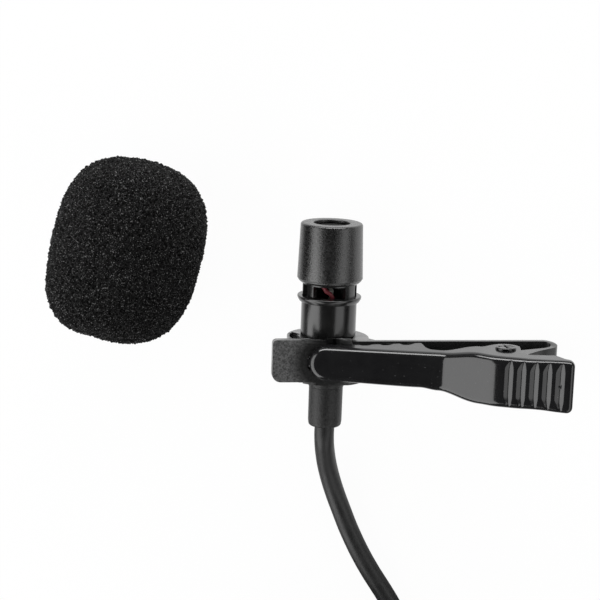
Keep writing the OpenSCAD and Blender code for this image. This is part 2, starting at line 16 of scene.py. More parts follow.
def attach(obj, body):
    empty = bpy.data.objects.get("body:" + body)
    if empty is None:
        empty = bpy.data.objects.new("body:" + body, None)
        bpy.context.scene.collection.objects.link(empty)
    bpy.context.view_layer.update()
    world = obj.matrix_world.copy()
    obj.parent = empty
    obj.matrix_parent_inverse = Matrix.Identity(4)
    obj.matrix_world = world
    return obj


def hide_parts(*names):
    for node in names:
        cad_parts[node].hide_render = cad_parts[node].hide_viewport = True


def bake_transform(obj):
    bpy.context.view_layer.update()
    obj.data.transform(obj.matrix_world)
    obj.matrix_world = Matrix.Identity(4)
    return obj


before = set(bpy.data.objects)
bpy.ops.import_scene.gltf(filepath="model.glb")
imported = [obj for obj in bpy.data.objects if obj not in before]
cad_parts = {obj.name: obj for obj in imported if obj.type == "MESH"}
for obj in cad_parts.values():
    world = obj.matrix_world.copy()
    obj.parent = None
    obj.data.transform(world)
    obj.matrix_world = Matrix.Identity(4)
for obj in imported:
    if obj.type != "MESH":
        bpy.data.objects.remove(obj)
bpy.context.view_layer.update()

# %% [markdown]
# ## Units and the places that pieces share
# The pieces are only millimetres across, so their shapes are written in millimetres and
# scaled to metres once, when a piece is finished. The microphone's axis and the clip's
# tilted arm carry most pieces. They could be empties, but two small functions are plainer.

# %% Shared places
MM = 0.001
MIC = Vector((2.25, -5.7, 5.65))
ARM_TILT = 18.65
CLIP_Y = -2.4
PIN = Vector((24.7, CLIP_Y, 9.5))


def at_clip(x, y, z):
    """A point from the microphone's axis on the table."""
    return Vector((MIC.x + x, MIC.y + y, z))


def in_arm(s, y, h):
    """A point of the clip's tilted arm: s along it, h out of it."""
    tilt = math.radians(ARM_TILT)
    run, drop = math.cos(tilt), math.sin(tilt)
    return at_clip(s * run + h * drop, y, MIC.z - s * drop + h * run)


def arm_line(x, h):
    """Height above the table of the arm's line h, at x."""
    tilt = math.radians(ARM_TILT)
    return MIC.z + (h - x * math.sin(tilt)) / math.cos(tilt)


def ease(x, a, b):
    """A smooth step from 0 at a to 1 at b."""
    t = min(1.0, max(0.0, (x - a) / (b - a)))
    return t * t * (3 - 2 * t)


ALONG_MIC = Matrix.Translation(MIC) @ Matrix.Rotation(math.radians(-90), 4, "X")
print("microphone's axis at", tuple(MIC))

# %% [markdown]
# ## Camera
# The camera looks down on the table from the head's side. Its place and turn are plain
# numbers, fitted beforehand. A long lens keeps the perspective weak.

# %% Camera
camera_data = bpy.data.cameras.new("studio_camera")
camera_data.lens = 104.44
camera_data.sensor_width = 36
camera_data.sensor_fit = "HORIZONTAL"
camera_data.clip_start = 0.01
camera = bpy.data.objects.new("studio_camera", camera_data)
bpy.context.scene.collection.objects.link(camera)
CAMERA_AT = Vector((38.99, 47.94, 237.07))
view_right = Vector((0.98306, 0.03303, -0.18029)).normalized()
view_up = Vector((-0.06852, 0.97854, -0.19431))
view_back = view_right.cross(view_up).normalized()
view_up = view_back.cross(view_right)
view_turn = Matrix((view_right, view_up, view_back)).transposed().to_4x4()
camera.matrix_world = Matrix.Translation(CAMERA_AT * MM) @ view_turn
bpy.context.scene.camera = camera
print("camera height", round(camera.location.z, 4), "m")

# %% [markdown]
# ## Materials
# Each finish is a small node tree on the Principled shader. Fine and broad noise in object
# space mottle the colour, so that no surface is a single flat colour. The fine noise also
# drives the bump, and the broad one moves the roughness. Image textures would do this too,
# but noise has no seams and needs no unwrapping. The grain sizes are in millimetres.

# %% Finish helpers
FINE_SHARE = 0.45
COAT_ROUGH = 0.3


def noise_node(nodes, links, grain, detail=3.0, stretch=None):
    """Noise whose features are about grain millimetres, in object space."""
    place = nodes.new("ShaderNodeTexCoord")
    made = nodes.new("ShaderNodeTexNoise")
    made.inputs["Scale"].default_value = 1 / (grain * MM)
    made.inputs["Detail"].default_value = detail
    if stretch:
        turn = nodes.new("ShaderNodeMapping")
        turn.inputs["Scale"].default_value = stretch
        links.new(place.outputs["Object"], turn.inputs["Vector"])
        links.new(turn.outputs["Vector"], made.inputs["Vector"])
    else:
        links.new(place.outputs["Object"], made.inputs["Vector"])
    return made


def ramp_node(nodes, links, source, stops):
    """A colour ramp over a value; stops are (position, colour), where a number is a grey."""
    ramp = nodes.new("ShaderNodeValToRGB")
    while len(ramp.color_ramp.elements) < len(stops):
        ramp.color_ramp.elements.new(0.5)
    for element, (position, colour) in zip(ramp.color_ramp.elements, stops):
        element.position = position
        element.color = (*(colour if isinstance(colour, tuple) else (colour,) * 3), 1)
    links.new(source, ramp.inputs["Fac"])
    return ramp


def math_node(nodes, links, operation, *values):
    """The output socket of a Math node; each value is a number or a socket to link."""
    made = nodes.new("ShaderNodeMath")
    made.operation = operation
    for socket, value in zip(made.inputs, values):
        if isinstance(value, bpy.types.NodeSocket):
            links.new(value, socket)
        else:
            socket.default_value = value
    return made.outputs["Value"]


def node_material(name):
    """A new material with its nodes, its links and its Principled shader."""
    made = bpy.data.materials.new(name)
    made.use_nodes = True
    tree = made.node_tree
    return made, tree.nodes, tree.links, tree.nodes["Principled BSDF"]


def finish_of(name, dark, light, rough, grain=0.3, bump=0.02, wide=3.0, metallic=0.0, stretch=None,
              spread=0.05, sheen=0.0, ior=1.5, coat=0.0, specks=0.0, speck_grain=0.16):
    """A Principled finish: two mottled tones, uneven roughness, dust specks and a bump in millimetres."""
    made, nodes, links, shader = node_material(name)
    shader.inputs["Metallic"].default_value = metallic
    shader.inputs["IOR"].default_value = ior
    shader.inputs["Coat Weight"].default_value = coat
    shader.inputs["Coat Roughness"].default_value = COAT_ROUGH
    shader.inputs["Sheen Weight"].default_value = sheen
    fine = noise_node(nodes, links, grain, 3.0, stretch)
    broad = noise_node(nodes, links, wide, 4.0)
    broad_part = math_node(nodes, links, "MULTIPLY", broad.outputs["Fac"], 1 - FINE_SHARE)
    mixed = math_node(nodes, links, "MULTIPLY_ADD", fine.outputs["Fac"], FINE_SHARE, broad_part)
    tones = ramp_node(nodes, links, mixed, [(0.38, dark), (0.62, light)])
    colour = tones.outputs["Color"]
    if specks:
        dust = ramp_node(nodes, links, noise_node(nodes, links, speck_grain, 1.0).outputs["Fac"],
                         [(0.755, 0), (0.81, specks)])
        dusty = nodes.new("ShaderNodeMix")
        dusty.data_type = "RGBA"
        dusty.blend_type = "ADD"
        dusty.inputs["Factor"].default_value = 1.0
        links.new(colour, dusty.inputs["A"])
        links.new(dust.outputs["Color"], dusty.inputs["B"])
        colour = dusty.outputs["Result"]
    links.new(colour, shader.inputs["Base Color"])
    gloss = nodes.new("ShaderNodeMapRange")
    gloss.inputs["To Min"].default_value = rough - spread
    gloss.inputs["To Max"].default_value = rough + spread
    gloss.inputs["From Min"].default_value = 0.3
    gloss.inputs["From Max"].default_value = 0.7
    links.new(broad.outputs["Fac"], gloss.inputs["Value"])
    links.new(gloss.outputs["Result"], shader.inputs["Roughness"])
    relief = nodes.new("ShaderNodeBump")
    relief.inputs["Distance"].default_value = bump * MM
    relief.inputs["Strength"].default_value = 1.0
    links.new(fine.outputs["Fac"], relief.inputs["Height"])
    links.new(relief.outputs["Normal"], shader.inputs["Normal"])
    return made


def paint_shadow_near(finish, spot, near, far, share):
    """Paints a shadow into a finish: its colour and coat drop to a share within near millimetres of a spot,
    easing out at far.
    """
    nodes, links = finish.node_tree.nodes, finish.node_tree.links
    shader = nodes["Principled BSDF"]
    paint = shader.inputs["Base Color"].links[0].from_socket
    place = nodes.new("ShaderNodeTexCoord")
    away = nodes.new("ShaderNodeVectorMath")
    away.operation = "DISTANCE"
    away.inputs[1].default_value = spot
    links.new(place.outputs["Object"], away.inputs[0])
    part = nodes.new("ShaderNodeMapRange")
    part.inputs["From Min"].default_value = near * MM
    part.inputs["From Max"].default_value = far * MM
    part.inputs["To Min"].default_value = share
    links.new(away.outputs["Value"], part.inputs["Value"])
    shadowed_paint = nodes.new("ShaderNodeVectorMath")
    shadowed_paint.operation = "SCALE"
    links.new(paint, shadowed_paint.inputs[0])
    links.new(part.outputs["Result"], shadowed_paint.inputs["Scale"])
    links.new(shadowed_paint.outputs["Vector"], shader.inputs["Base Color"])
    weight = shader.inputs["Coat Weight"]
    links.new(math_node(nodes, links, "MULTIPLY", part.outputs["Result"], weight.default_value), weight)


print("finish helpers ready")

# %% Finishes
CAP_PAINT = finish_of("cap_paint", 0.002, 0.012, 0.27, grain=0.15, bump=0.034, wide=0.3,
                      ior=1.75, specks=0.1, speck_grain=0.2)
BARREL_PAINT = finish_of("barrel_paint", 0.004, 0.009, 0.22, grain=0.2, bump=0.004, wide=2.4,
                         spread=0.02, ior=1.65)
LEVER_PAINT = finish_of("lever_paint", (0.0055, 0.0055, 0.006), (0.008, 0.008, 0.0085), 0.15, grain=1.2,
                        bump=0.0008, wide=5.0, spread=0.02, ior=1.6, specks=0.14, speck_grain=0.2)
BASE_PAINT = finish_of("base_paint", 0.006, 0.009, 0.2, grain=0.7, bump=0.001, spread=0.03,
                       ior=1.6, specks=0.03, speck_grain=0.15)
HOLDER_PLASTIC = finish_of("holder_plastic", 0.014, 0.098, 0.42, grain=0.2, bump=0.05,
                           wide=0.3, ior=1.35, coat=1.0, specks=0.06, speck_grain=0.18)
# Painted shadow: the lever's nose shades the tab, and that shade is painted into the holder's colour and coat
# round the nose.
paint_shadow_near(HOLDER_PLASTIC, (MIC + Vector((0.6, CLIP_Y, 5.2))) * MM, 3.3, 5.2, 0.1)
RELIEF_RUBBER = finish_of("relief_rubber", 0.002, 0.024, 0.42, grain=0.17, bump=0.05, wide=0.3,
                          ior=1.42, specks=0.03, speck_grain=0.18)
CORD_JACKET = finish_of("cord_jacket", 0.007, 0.011, 0.45, grain=0.5, bump=0.002, wide=2.5)
PIN_STEEL = finish_of("pin_steel", 0.035, 0.07, 0.22, grain=0.15, bump=0.006, metallic=1.0)
SPRING_STEEL = finish_of("spring_steel", 0.30, 0.42, 0.28, grain=0.1, bump=0.004, metallic=1.0,
                         stretch=(1, 0.2, 1))
MESH_METAL = finish_of("mesh_metal", 0.5, 0.8, 0.12, grain=0.08, bump=0.003, metallic=1.0)
FELT = finish_of("felt", 0.004, 0.012, 0.95, grain=0.07, bump=0.05, wide=0.4)
RED_WIRE = finish_of("red_wire", (0.13, 0.02, 0.025), (0.2, 0.03, 0.04), 0.4, grain=0.3, bump=0.004)
WHITE_WIRE = finish_of("white_wire", (0.55, 0.54, 0.50), (0.68, 0.67, 0.63), 0.4, grain=0.3, bump=0.004)
print("finishes so far:", len(bpy.data.materials))

# %% [markdown]
# ## Helpers that finish a piece
# A bmesh in millimetres becomes an object: its doubles are merged, its normals made to
# point outwards, and it is scaled to metres in the mesh, so the object itself stays at the
# origin. Edges sharper than a set angle stay crisp under smooth shading. The Edge Split
# modifier could do that too, but marking edges leaves the mesh closed.

# %% Piece helpers
def to_object(bm, name, sharp=38, turn_out=True):
    """A bmesh in millimetres as a smooth-shaded object in metres."""
    bmesh.ops.remove_doubles(bm, verts=bm.verts, dist=1e-4)
    if turn_out:
        bmesh.ops.recalc_face_normals(bm, faces=bm.faces)
    bmesh.ops.scale(bm, vec=(MM, MM, MM), verts=bm.verts)
    mesh = bpy.data.meshes.new(name)
    bm.to_mesh(mesh)
    bm.free()
    mesh.shade_smooth()
    mesh.set_sharp_from_angle(angle=math.radians(sharp))
    made = bpy.data.objects.new(name, mesh)
    bpy.context.scene.collection.objects.link(made)
    return made


def belongs(piece, finish, body, slot, *nodes):
    """Gives a piece its finish and its CAD body, and hides the CAD nodes that it stands for; slot is not
    used.
    """
    piece.data.materials.clear()
    piece.data.materials.append(finish)
    if body:
        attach(piece, body)
    if nodes:
        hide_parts(*nodes)
    return piece


def flatten(piece):
    """The piece with its modifiers applied to its mesh."""
    bpy.context.view_layer.update()
    graph = bpy.context.evaluated_depsgraph_get()
    mesh = bpy.data.meshes.new_from_object(piece.evaluated_get(graph), depsgraph=graph)
    piece.modifiers.clear()
    piece.data = mesh
    return piece


def along_mic(bm, name, finish, slot, node, sharp=38):
    """Lays a mesh along the microphone's axis and makes it a piece of the microphone."""
    bmesh.ops.transform(bm, matrix=ALONG_MIC, verts=bm.verts)
    return belongs(to_object(bm, name, sharp), finish, "microphone", slot, node)


def pulled_from(bm, edges):
    """Extrudes a row of edges; returns the new points and the new row."""
    made = bmesh.ops.extrude_edge_only(bm, edges=edges)["geom"]
    points = [g for g in made if isinstance(g, bmesh.types.BMVert)]
    fresh = set(points)
    return points, [g for g in made if isinstance(g, bmesh.types.BMEdge) and all(v in fresh for v in g.verts)]


def cut_off(bm, place, facing):
    """Cuts off what lies in front of a plane and closes the hole."""
    cut = bmesh.ops.bisect_plane(bm, geom=bm.verts[:] + bm.edges[:] + bm.faces[:], plane_co=place,
                                 plane_no=facing, clear_outer=True)
    bmesh.ops.holes_fill(bm, edges=[g for g in cut["geom_cut"] if isinstance(g, bmesh.types.BMEdge)])


def soften(bm, width, segments=3, angle=30, where=None):
    """Bevels the edges sharper than an angle, or those of them that where() picks by their middle."""
    sharp = [e for e in bm.edges if len(e.link_faces) == 2 and e.calc_face_angle(0) > math.radians(angle)]
    if where:
        sharp = [e for e in sharp if where((e.verts[0].co + e.verts[1].co) / 2)]
    bmesh.ops.bevel(bm, geom=sharp, offset=width, offset_type="OFFSET", segments=segments, profile=0.5,
                    affect="EDGES", material=-1, clamp_overlap=True)


def turned(bm, outline, steps=90, closed=True):
    """Spins an outline of (radius, height) once round the local z axis."""
    corners = [bm.verts.new((r, 0, z)) for r, z in outline]
    pairs = list(zip(corners, corners[1:] + ([corners[0]] if closed else [])))
    wires = [bm.edges.new(pair) for pair in (pairs if closed else pairs[:len(corners) - 1])]
    bmesh.ops.spin(bm, geom=corners + wires, cent=(0, 0, 0), axis=(0, 0, 1), angle=math.tau, steps=steps,
                   use_merge=True)
    bmesh.ops.remove_doubles(bm, verts=bm.verts, dist=1e-4)
    bmesh.ops.recalc_face_normals(bm, faces=bm.faces)


def swept(bm, points, radius, sides=12, capped=True):
    """A round tube along points: one circle, pulled on from point to point and turned with the path."""
    points = [Vector(p) for p in points]
    aims = [(b - a).normalized() for a, b in zip(points, points[1:])]
    tangents = [aims[0]] + [(a + b).normalized() for a, b in zip(aims, aims[1:])] + [aims[-1]]
    turn = tangents[0].to_track_quat("Z", "Y")
    place = Matrix.Translation(points[0]) @ turn.to_matrix().to_4x4()
    ring = bmesh.ops.create_circle(bm, cap_ends=capped, segments=sides, radius=radius, matrix=place)["verts"]
    edges = list(dict.fromkeys(e for v in ring for e in v.link_edges))
    for point, before, after in zip(points[1:], tangents, tangents[1:]):
        verts, edges = pulled_from(bm, edges)
        turn = before.rotation_difference(after) @ turn
        new_place = Matrix.Translation(point) @ turn.to_matrix().to_4x4()
        bmesh.ops.transform(bm, matrix=new_place @ place.inverted(), verts=verts)
        place = new_place
    if capped:
        bmesh.ops.contextual_create(bm, geom=edges)


print("helpers ready")

# %% [markdown]
# ## The cord
# The cord is a thin round jacket of soft PVC, made 1.5 m long, that ends in a 3.5 mm plug.
# It drops from the strain relief to the table, runs off in a slack curve and lies in a
# coil of four layers, held by a strap. A bevelled curve is the natural way to draw
# it: the curve's own line is the cord's centre, so its length can be measured.

# %% Cord route
CORD_D = 2.8
COIL_AT = Vector((2.6, -72.4, 0))
COIL_R = 21.8
COIL_LOOPS = 14.1667
COIL_LAYERS = 4
COIL_PITCH = 3.25
COIL_IN_AT = 30
TIE_AT = -90
TIE_LIFT = 0.7
CORD_EXIT = (2.25, -18.34, 5.65)
run_points = [CORD_EXIT, (2.25, -20, 5.65), (2.3, -22.7, 4.5), (2.6, -25.6, 3.1), (3.35, -28.8, 2.0),
              (4.5, -32, 1.5), (5.85, -35.15, 1.4), (8.2, -39.5, 1.4), (11.9, -45, 1.4), (15.3, -50.8, 1.4)]
tail_points = [(17.2, -90.7, 10.3), (15.3, -93.8, 8.4), (13, -96.8, 6.2), (10.8, -99.2, 4.4),
               (8.4, -100.5, 3.6), (5.6, -100.5, 3.6)]


def coil_point(t):
    """The cord's centre after t loops of the coil: it spirals in and out and climbs between."""
    per_layer = COIL_LOOPS / COIL_LAYERS
    layer, part = divmod(t / per_layer, 1)
    part = part if layer % 2 == 0 else 1 - part
    angle = COIL_IN_AT - 360 * t
    radius = COIL_R - COIL_PITCH * per_layer * part
    climbs = sum(min(1, max(0, (t - k * per_layer) * 2 + 0.5)) for k in range(1, COIL_LAYERS))
    away = abs((angle - TIE_AT + 180) % 360 - 180)
    height = CORD_D / 2 + COIL_PITCH * climbs + TIE_LIFT * (1 - ease(away, 18, 60))
    turn = math.radians(angle)
    return COIL_AT + Vector((radius * math.cos(turn), radius * math.sin(turn), height))


coil_steps = round(24 * COIL_LOOPS)
coil_points = [coil_point(COIL_LOOPS * i / coil_steps) for i in range(coil_steps + 1)]
in_angle = math.radians(COIL_IN_AT)
out_angle = math.radians(COIL_IN_AT - 360 * COIL_LOOPS)
in_dir = Vector((math.sin(in_angle), -math.cos(in_angle), 0))
out_dir = Vector((math.sin(out_angle), -math.cos(out_angle), 0))
route = ([Vector(p) for p in run_points]
         + [coil_points[0] - 2 * CORD_D * in_dir, coil_points[0] - CORD_D * in_dir] + coil_points
         + [coil_points[-1] + CORD_D * out_dir, coil_points[-1] + 2 * CORD_D * out_dir]
         + [Vector(p) for p in tail_points])
print("route:", round(sum((b - a).length for a, b in zip(route, route[1:])), 1), "mm")

# %% Cord curve
cord_data = bpy.data.curves.new("cord", "CURVE")
cord_data.dimensions = "3D"
cord_data.bevel_depth = CORD_D / 2 * MM
cord_data.bevel_resolution = 6
cord_data.resolution_u = 4
cord_data.use_fill_caps = True
spline = cord_data.splines.new("BEZIER")
spline.bezier_points.add(len(route) - 1)
for knot, point in zip(spline.bezier_points, route):
    knot.co = point * MM
    knot.handle_left_type = "AUTO"
    knot.handle_right_type = "AUTO"
cord = bpy.data.objects.new("cord", cord_data)
bpy.context.scene.collection.objects.link(cord)
belongs(cord, CORD_JACKET, "microphone", "cord_jacket", "cord_run", "cord_coil", "cord_tail")
print("cord knots:", len(route))

# %% [markdown]
# ## The cap over the capsule
# The cap is a short turned cup, pushed over the neck. Its end has a hole with a woven wire
# mesh behind it. A lathe is how the real one is made, so here an outline is spun round the
# axis with a small step at the lower rim, and its edges are then bevelled with small rounds.

# %% Head cap
CAP_Y0, CAP_Y1 = 7.72, 15.9
CAP_IN_R, CAP_LOW_R, CAP_TOP_R = 3.75, 4.5, 4.25
CAP_HOLE_R, CAP_TOP_T = 2.5, 0.4
RIM_H, RIM_R = 0.55, 4.34
cap_mesh = bmesh.new()
turned(cap_mesh, [(CAP_IN_R, CAP_Y0), (RIM_R - 0.32, CAP_Y0), (RIM_R, CAP_Y0 + 0.3),
                  (RIM_R + 0.06, CAP_Y0 + RIM_H - 0.05), (CAP_LOW_R, CAP_Y0 + RIM_H), (CAP_TOP_R, CAP_Y1),
                  (CAP_HOLE_R, CAP_Y1), (CAP_HOLE_R, CAP_Y1 - CAP_TOP_T), (CAP_IN_R, CAP_Y1 - CAP_TOP_T)],
       steps=96)
soften(cap_mesh, 0.05, 3, where=lambda m: m.z < CAP_Y0 + RIM_H + 0.1 and m.xy.length > 3.9)
soften(cap_mesh, 0.3, 5, where=lambda m: m.z > CAP_Y1 - 0.2 and m.xy.length > 4)
soften(cap_mesh, 0.1, 3, where=lambda m: m.z > CAP_Y1 - 0.2 and m.xy.length < 3)
head_cap = along_mic(cap_mesh, "cap_shell", CAP_PAINT, "cap_paint", "head_cap")
print("cap faces:", len(head_cap.data.polygons))

# %% [markdown]
# ## The woven mesh
# Two sets of fine wires cross over and under each other. One wire is a six-sided tube
# that waves along its length, and the sets differ by half a wave. At this size a few sides
# are enough, because there are many wires.

# %% Woven mesh
MESH_Y = 15.15
MESH_PITCH = 0.42
WIRE_R = 0.07
WEAVE_R, WEAVE_RISE = 3.3, 0.08
weave_mesh = bmesh.new()
for across in (0, 1):
    for i in range(-7, 8):
        reach = math.sqrt(WEAVE_R ** 2 - (i * MESH_PITCH) ** 2)
        count = int(reach / (MESH_PITCH / 2))
        path = []
        for k in range(-count, count + 1):
            along = k * MESH_PITCH / 2
            wave = WEAVE_RISE * math.cos(math.pi * (along / MESH_PITCH + i + across))
            side = i * MESH_PITCH
            path.append((along, side, MESH_Y + wave) if across else (side, along, MESH_Y + wave))
        swept(weave_mesh, path, WIRE_R, sides=6)
top_mesh = along_mic(weave_mesh, "woven_mesh", MESH_METAL, "mesh_metal", "top_mesh", 70)
print("mesh faces:", len(top_mesh.data.polygons))

# %% [markdown]
# ## The barrel
# The barrel is one turned part: a plain lower tube, a thin collar and a neck that is cut
# by three windows under the cap. The outline is spun with its inner wall, so that it is a real
# tube. Each slot is then opened by deleting the faces on both walls and bridging the two
# loops that are left, which gives the slot its side walls without a Boolean.

# %% Barrel
BARREL_Y0 = -6.0
BARREL_R, BARREL_IN_R = 3.8, 2.01
FLANGE_Y = (5.02, 5.86)
FLANGE_R = 4.4
NECK_R, NECK_IN_R = 3.72, 2.95
NECK_Y1 = 11.55
SLOT_TOP = 7.5
NECK_SLOTS = [(-28, 72), (78, 22), (292, 22)]
barrel_mesh = bmesh.new()
turned(barrel_mesh, [(BARREL_IN_R, BARREL_Y0), (BARREL_R, BARREL_Y0), (BARREL_R, FLANGE_Y[0]),
                     (FLANGE_R - 0.3, FLANGE_Y[0]), (FLANGE_R, FLANGE_Y[1] - 0.3), (FLANGE_R, FLANGE_Y[1]),
                     (NECK_R, FLANGE_Y[1]), (NECK_R, SLOT_TOP), (NECK_R, NECK_Y1), (NECK_IN_R, NECK_Y1),
                     (NECK_IN_R, SLOT_TOP), (NECK_IN_R, FLANGE_Y[1]), (NECK_IN_R, BARREL_Y0 + 0.8),
                     (BARREL_IN_R, BARREL_Y0 + 0.8)], steps=120)
for start, sweep in NECK_SLOTS:
    middle = math.radians(start + sweep / 2 - 90)
    facing = Vector((math.cos(middle), math.sin(middle), 0))
    inside = math.cos(math.radians(sweep / 2))
    gone = []
    for face in barrel_mesh.faces:
        centre = face.calc_center_median()
        flat = Vector((centre.x, centre.y, 0))
        upright = abs(face.normal.z) < 0.1
        if upright and FLANGE_Y[1] < centre.z < SLOT_TOP and flat.normalized().dot(facing) > inside:
            gone.append(face)
    rims = dict.fromkeys(e for face in gone for e in face.edges if not all(f in gone for f in e.link_faces))
    bmesh.ops.delete(barrel_mesh, geom=gone, context="FACES")
    walls = bmesh.ops.bridge_loops(barrel_mesh, edges=[e for e in rims if e.is_valid])["faces"]
    corners = dict.fromkeys(
        e for f in walls for e in f.edges if abs(e.verts[0].co.z - e.verts[1].co.z) < 0.01
        and abs(e.verts[0].co.xy.length - e.verts[1].co.xy.length) > 0.3 and e.calc_face_angle(0) > 1)
    bmesh.ops.bevel(barrel_mesh, geom=list(corners), offset=0.3, offset_type="OFFSET", segments=4,
                    profile=0.5, affect="EDGES", material=-1, clamp_overlap=True)
bmesh.ops.recalc_face_normals(barrel_mesh, faces=barrel_mesh.faces)
soften(barrel_mesh, 0.2, 4, where=lambda m: m.z < BARREL_Y0 + 0.1 and m.xy.length > 3)
soften(barrel_mesh, 0.12, 4, 20, where=lambda m: m.xy.length > 4.0)
barrel = along_mic(barrel_mesh, "turned_barrel", BARREL_PAINT, "barrel_paint", "barrel")
print("barrel faces:", len(barrel.data.polygons))

# %% [markdown]
# ## Collar and strain relief
# A small collar closes the barrel, and a rubber sleeve keeps the cord from kinking where it
# leaves. The sleeve tapers towards the cord. Both are turned again: an outline that steps
# down and is bevelled reads as moulded rubber.

# %% Collar and strain relief
COLLAR_Y0 = -7.05
COLLAR_R, SPIGOT_R = 2.45, 1.99
RELIEF_Y0 = -12.64
RELIEF_R = 2.36
collar_mesh = bmesh.new()
turned(collar_mesh, [(1.76, COLLAR_Y0), (COLLAR_R, COLLAR_Y0), (COLLAR_R, BARREL_Y0), (SPIGOT_R, BARREL_Y0),
                     (SPIGOT_R, BARREL_Y0 + 2.4), (1.76, BARREL_Y0 + 2.4)], steps=72)
soften(collar_mesh, 0.18, 4, where=lambda m: m.xy.length > 2.3 and m.z < COLLAR_Y0 + 0.1)
along_mic(collar_mesh, "end_ring", RELIEF_RUBBER, "collar_paint", "end_collar")
relief_mesh = bmesh.new()
turned(relief_mesh, [(1.41, RELIEF_Y0), (RELIEF_R - 0.12, RELIEF_Y0), (RELIEF_R - 0.02, RELIEF_Y0 + 0.8),
                     (RELIEF_R, COLLAR_Y0 - 0.3), (RELIEF_R, COLLAR_Y0), (1.74, COLLAR_Y0),
                     (1.74, BARREL_Y0 + 2.9), (1.41, BARREL_Y0 + 2.9)], steps=72)
soften(relief_mesh, 0.32, 5, 30, where=lambda m: m.xy.length > 1.6 and m.z < RELIEF_Y0 + 0.4)
relief = along_mic(relief_mesh, "relief_sleeve", RELIEF_RUBBER, "relief_rubber", "strain_relief")
print("relief faces:", len(relief.data.polygons))

# %% [markdown]
# ## The two leads inside the neck
# Through the slots one sees the thin leads that run from the capsule to the cord. Each is
# a circle swept along a few points, which is what the insulation of a real wire is.

# %% Leads
def lead_path(turn, lean):
    """Points down beside the neck's wall and in to the cable's end, about the local axis."""
    steps = [(2.2, 12.0, 0), (2.2, 8.4, -0.1), (2.25, 7.2, -0.3), (2.4, 6.75, -0.12), (2.4, 6.4, 0.12),
             (2.2, 5.9, 0.26), (2.05, 5.0, 0.2), (1.85, 4.0, 0.06), (1.45, 2.8, 0.02), (1.0, 1.4, 0),
             (0.72, 0.4, 0)]
    angle = math.radians(turn)
    return [(r * math.cos(angle + lean * bow), r * math.sin(angle + lean * bow), z) for r, z, bow in steps]


LEAD_R = 0.3
for name, turn, lean, finish in (("red_wire", -84, 1, RED_WIRE), ("white_wire", 105, -1, WHITE_WIRE)):
    lead_mesh = bmesh.new()
    swept(lead_mesh, lead_path(turn, lean), LEAD_R, sides=16)
    along_mic(lead_mesh, name + "_lead", finish, name, name)
print("leads made")

# %% [markdown]
# ## The holder
# A moulded ring grips the barrel, and a flat tab across it carries the clip's arm. The ring
# is turned, cut flat on top by a plane, and joined to the tab. The tab starts as a scaled
# cube with two bevelled corners, one small and one wide. Booleans join them to a gusset and
# cut the slit, the bore and a recess in the ring's end, and a Bevel modifier gives every edge
# the small round that a mould leaves.

# %% Holder
RING_LEN = 5.65
RING_IN_R, RING_OUT_R = 3.85, 5.65
TAB_H = (4.1, 5.2)
TAB_S = (-8.3, 2.5)
TAB_EXTRA = 0.26
RECESS_R, RECESS_DEEP = (4.2, 5.3), 1.3
RECESS_END = ((-2.6, 0, 0), (0.8, 0, -0.6))
SLIT_BOX = ((-8.5, -6.6, 3.6), (-1.2, 1.2, 4.08))
ARM_W = 5.6


def box_between(bm, low, high):
    """A cube stretched between two corners; returns its vertices."""
    made = bmesh.ops.create_cube(bm, size=1)["verts"]
    low, high = Vector(low), Vector(high)
    bmesh.ops.scale(bm, vec=high - low, verts=made)
    bmesh.ops.translate(bm, vec=(low + high) / 2, verts=made)
    return made


def combine(piece, other, how):
    """A Boolean of two objects, applied; the second object is removed."""
    change = piece.modifiers.new("join", "BOOLEAN")
    change.operation = how
    change.solver = "EXACT"
    change.object = other
    flatten(piece)
    bpy.data.objects.remove(other)
    return piece


def ring_between(inner, outer, low, high):
    """A turned ring along the local y axis."""
    bm = bmesh.new()
    turned(bm, [(inner, low), (outer, low), (outer, high), (inner, high)], steps=96)
    bmesh.ops.rotate(bm, cent=(0, 0, 0), matrix=Matrix.Rotation(math.radians(-90), 3, "X"), verts=bm.verts)
    return bm


ring_mesh = ring_between(RING_IN_R, RING_OUT_R, -RING_LEN, 0)
cut_off(ring_mesh, (0, 0, TAB_H[1]), (0, 0, 1))
holder = to_object(ring_mesh, "holder_ring")

tab_mesh = bmesh.new()
box_between(tab_mesh, (TAB_S[0], CLIP_Y - ARM_W / 2, TAB_H[0] - 0.02),
            (TAB_S[1], CLIP_Y + ARM_W / 2 + TAB_EXTRA, TAB_H[1]))
for upper, width in ((True, 0.55), (False, 1.2)):
    posts = [e for e in tab_mesh.edges if abs(e.verts[0].co.z - e.verts[1].co.z) > 0.5
             and e.verts[0].co.x < 0 and (e.verts[0].co.y > CLIP_Y) == upper]
    bmesh.ops.bevel(tab_mesh, geom=posts, offset=width, offset_type="OFFSET", segments=6, profile=0.5,
                    affect="EDGES", material=-1)
combine(holder, to_object(tab_mesh, "tab"), "UNION")
saw_mesh = bmesh.new()
box_between(saw_mesh, *SLIT_BOX)
combine(holder, to_object(saw_mesh, "slit_saw"), "DIFFERENCE")
recess_mesh = ring_between(*RECESS_R, -RECESS_DEEP, 1.0)
cut_off(recess_mesh, *RECESS_END)
combine(holder, to_object(recess_mesh, "recess_saw"), "DIFFERENCE")
gusset_mesh = bmesh.new()
foot = box_between(gusset_mesh, (2.6, CLIP_Y - ARM_W / 2, 1.6), (5.9, CLIP_Y + ARM_W / 2, 3.98))
bmesh.ops.translate(gusset_mesh, vec=(0.9, 0, 0), verts=[v for v in foot if v.co.z < 2 and v.co.x < 3])
bmesh.ops.translate(gusset_mesh, vec=(-1.2, 0, 0.7), verts=[v for v in foot if v.co.z < 3 and v.co.x > 4.5])
combine(holder, to_object(gusset_mesh, "gusset"), "UNION")
bore_mesh = bmesh.new()
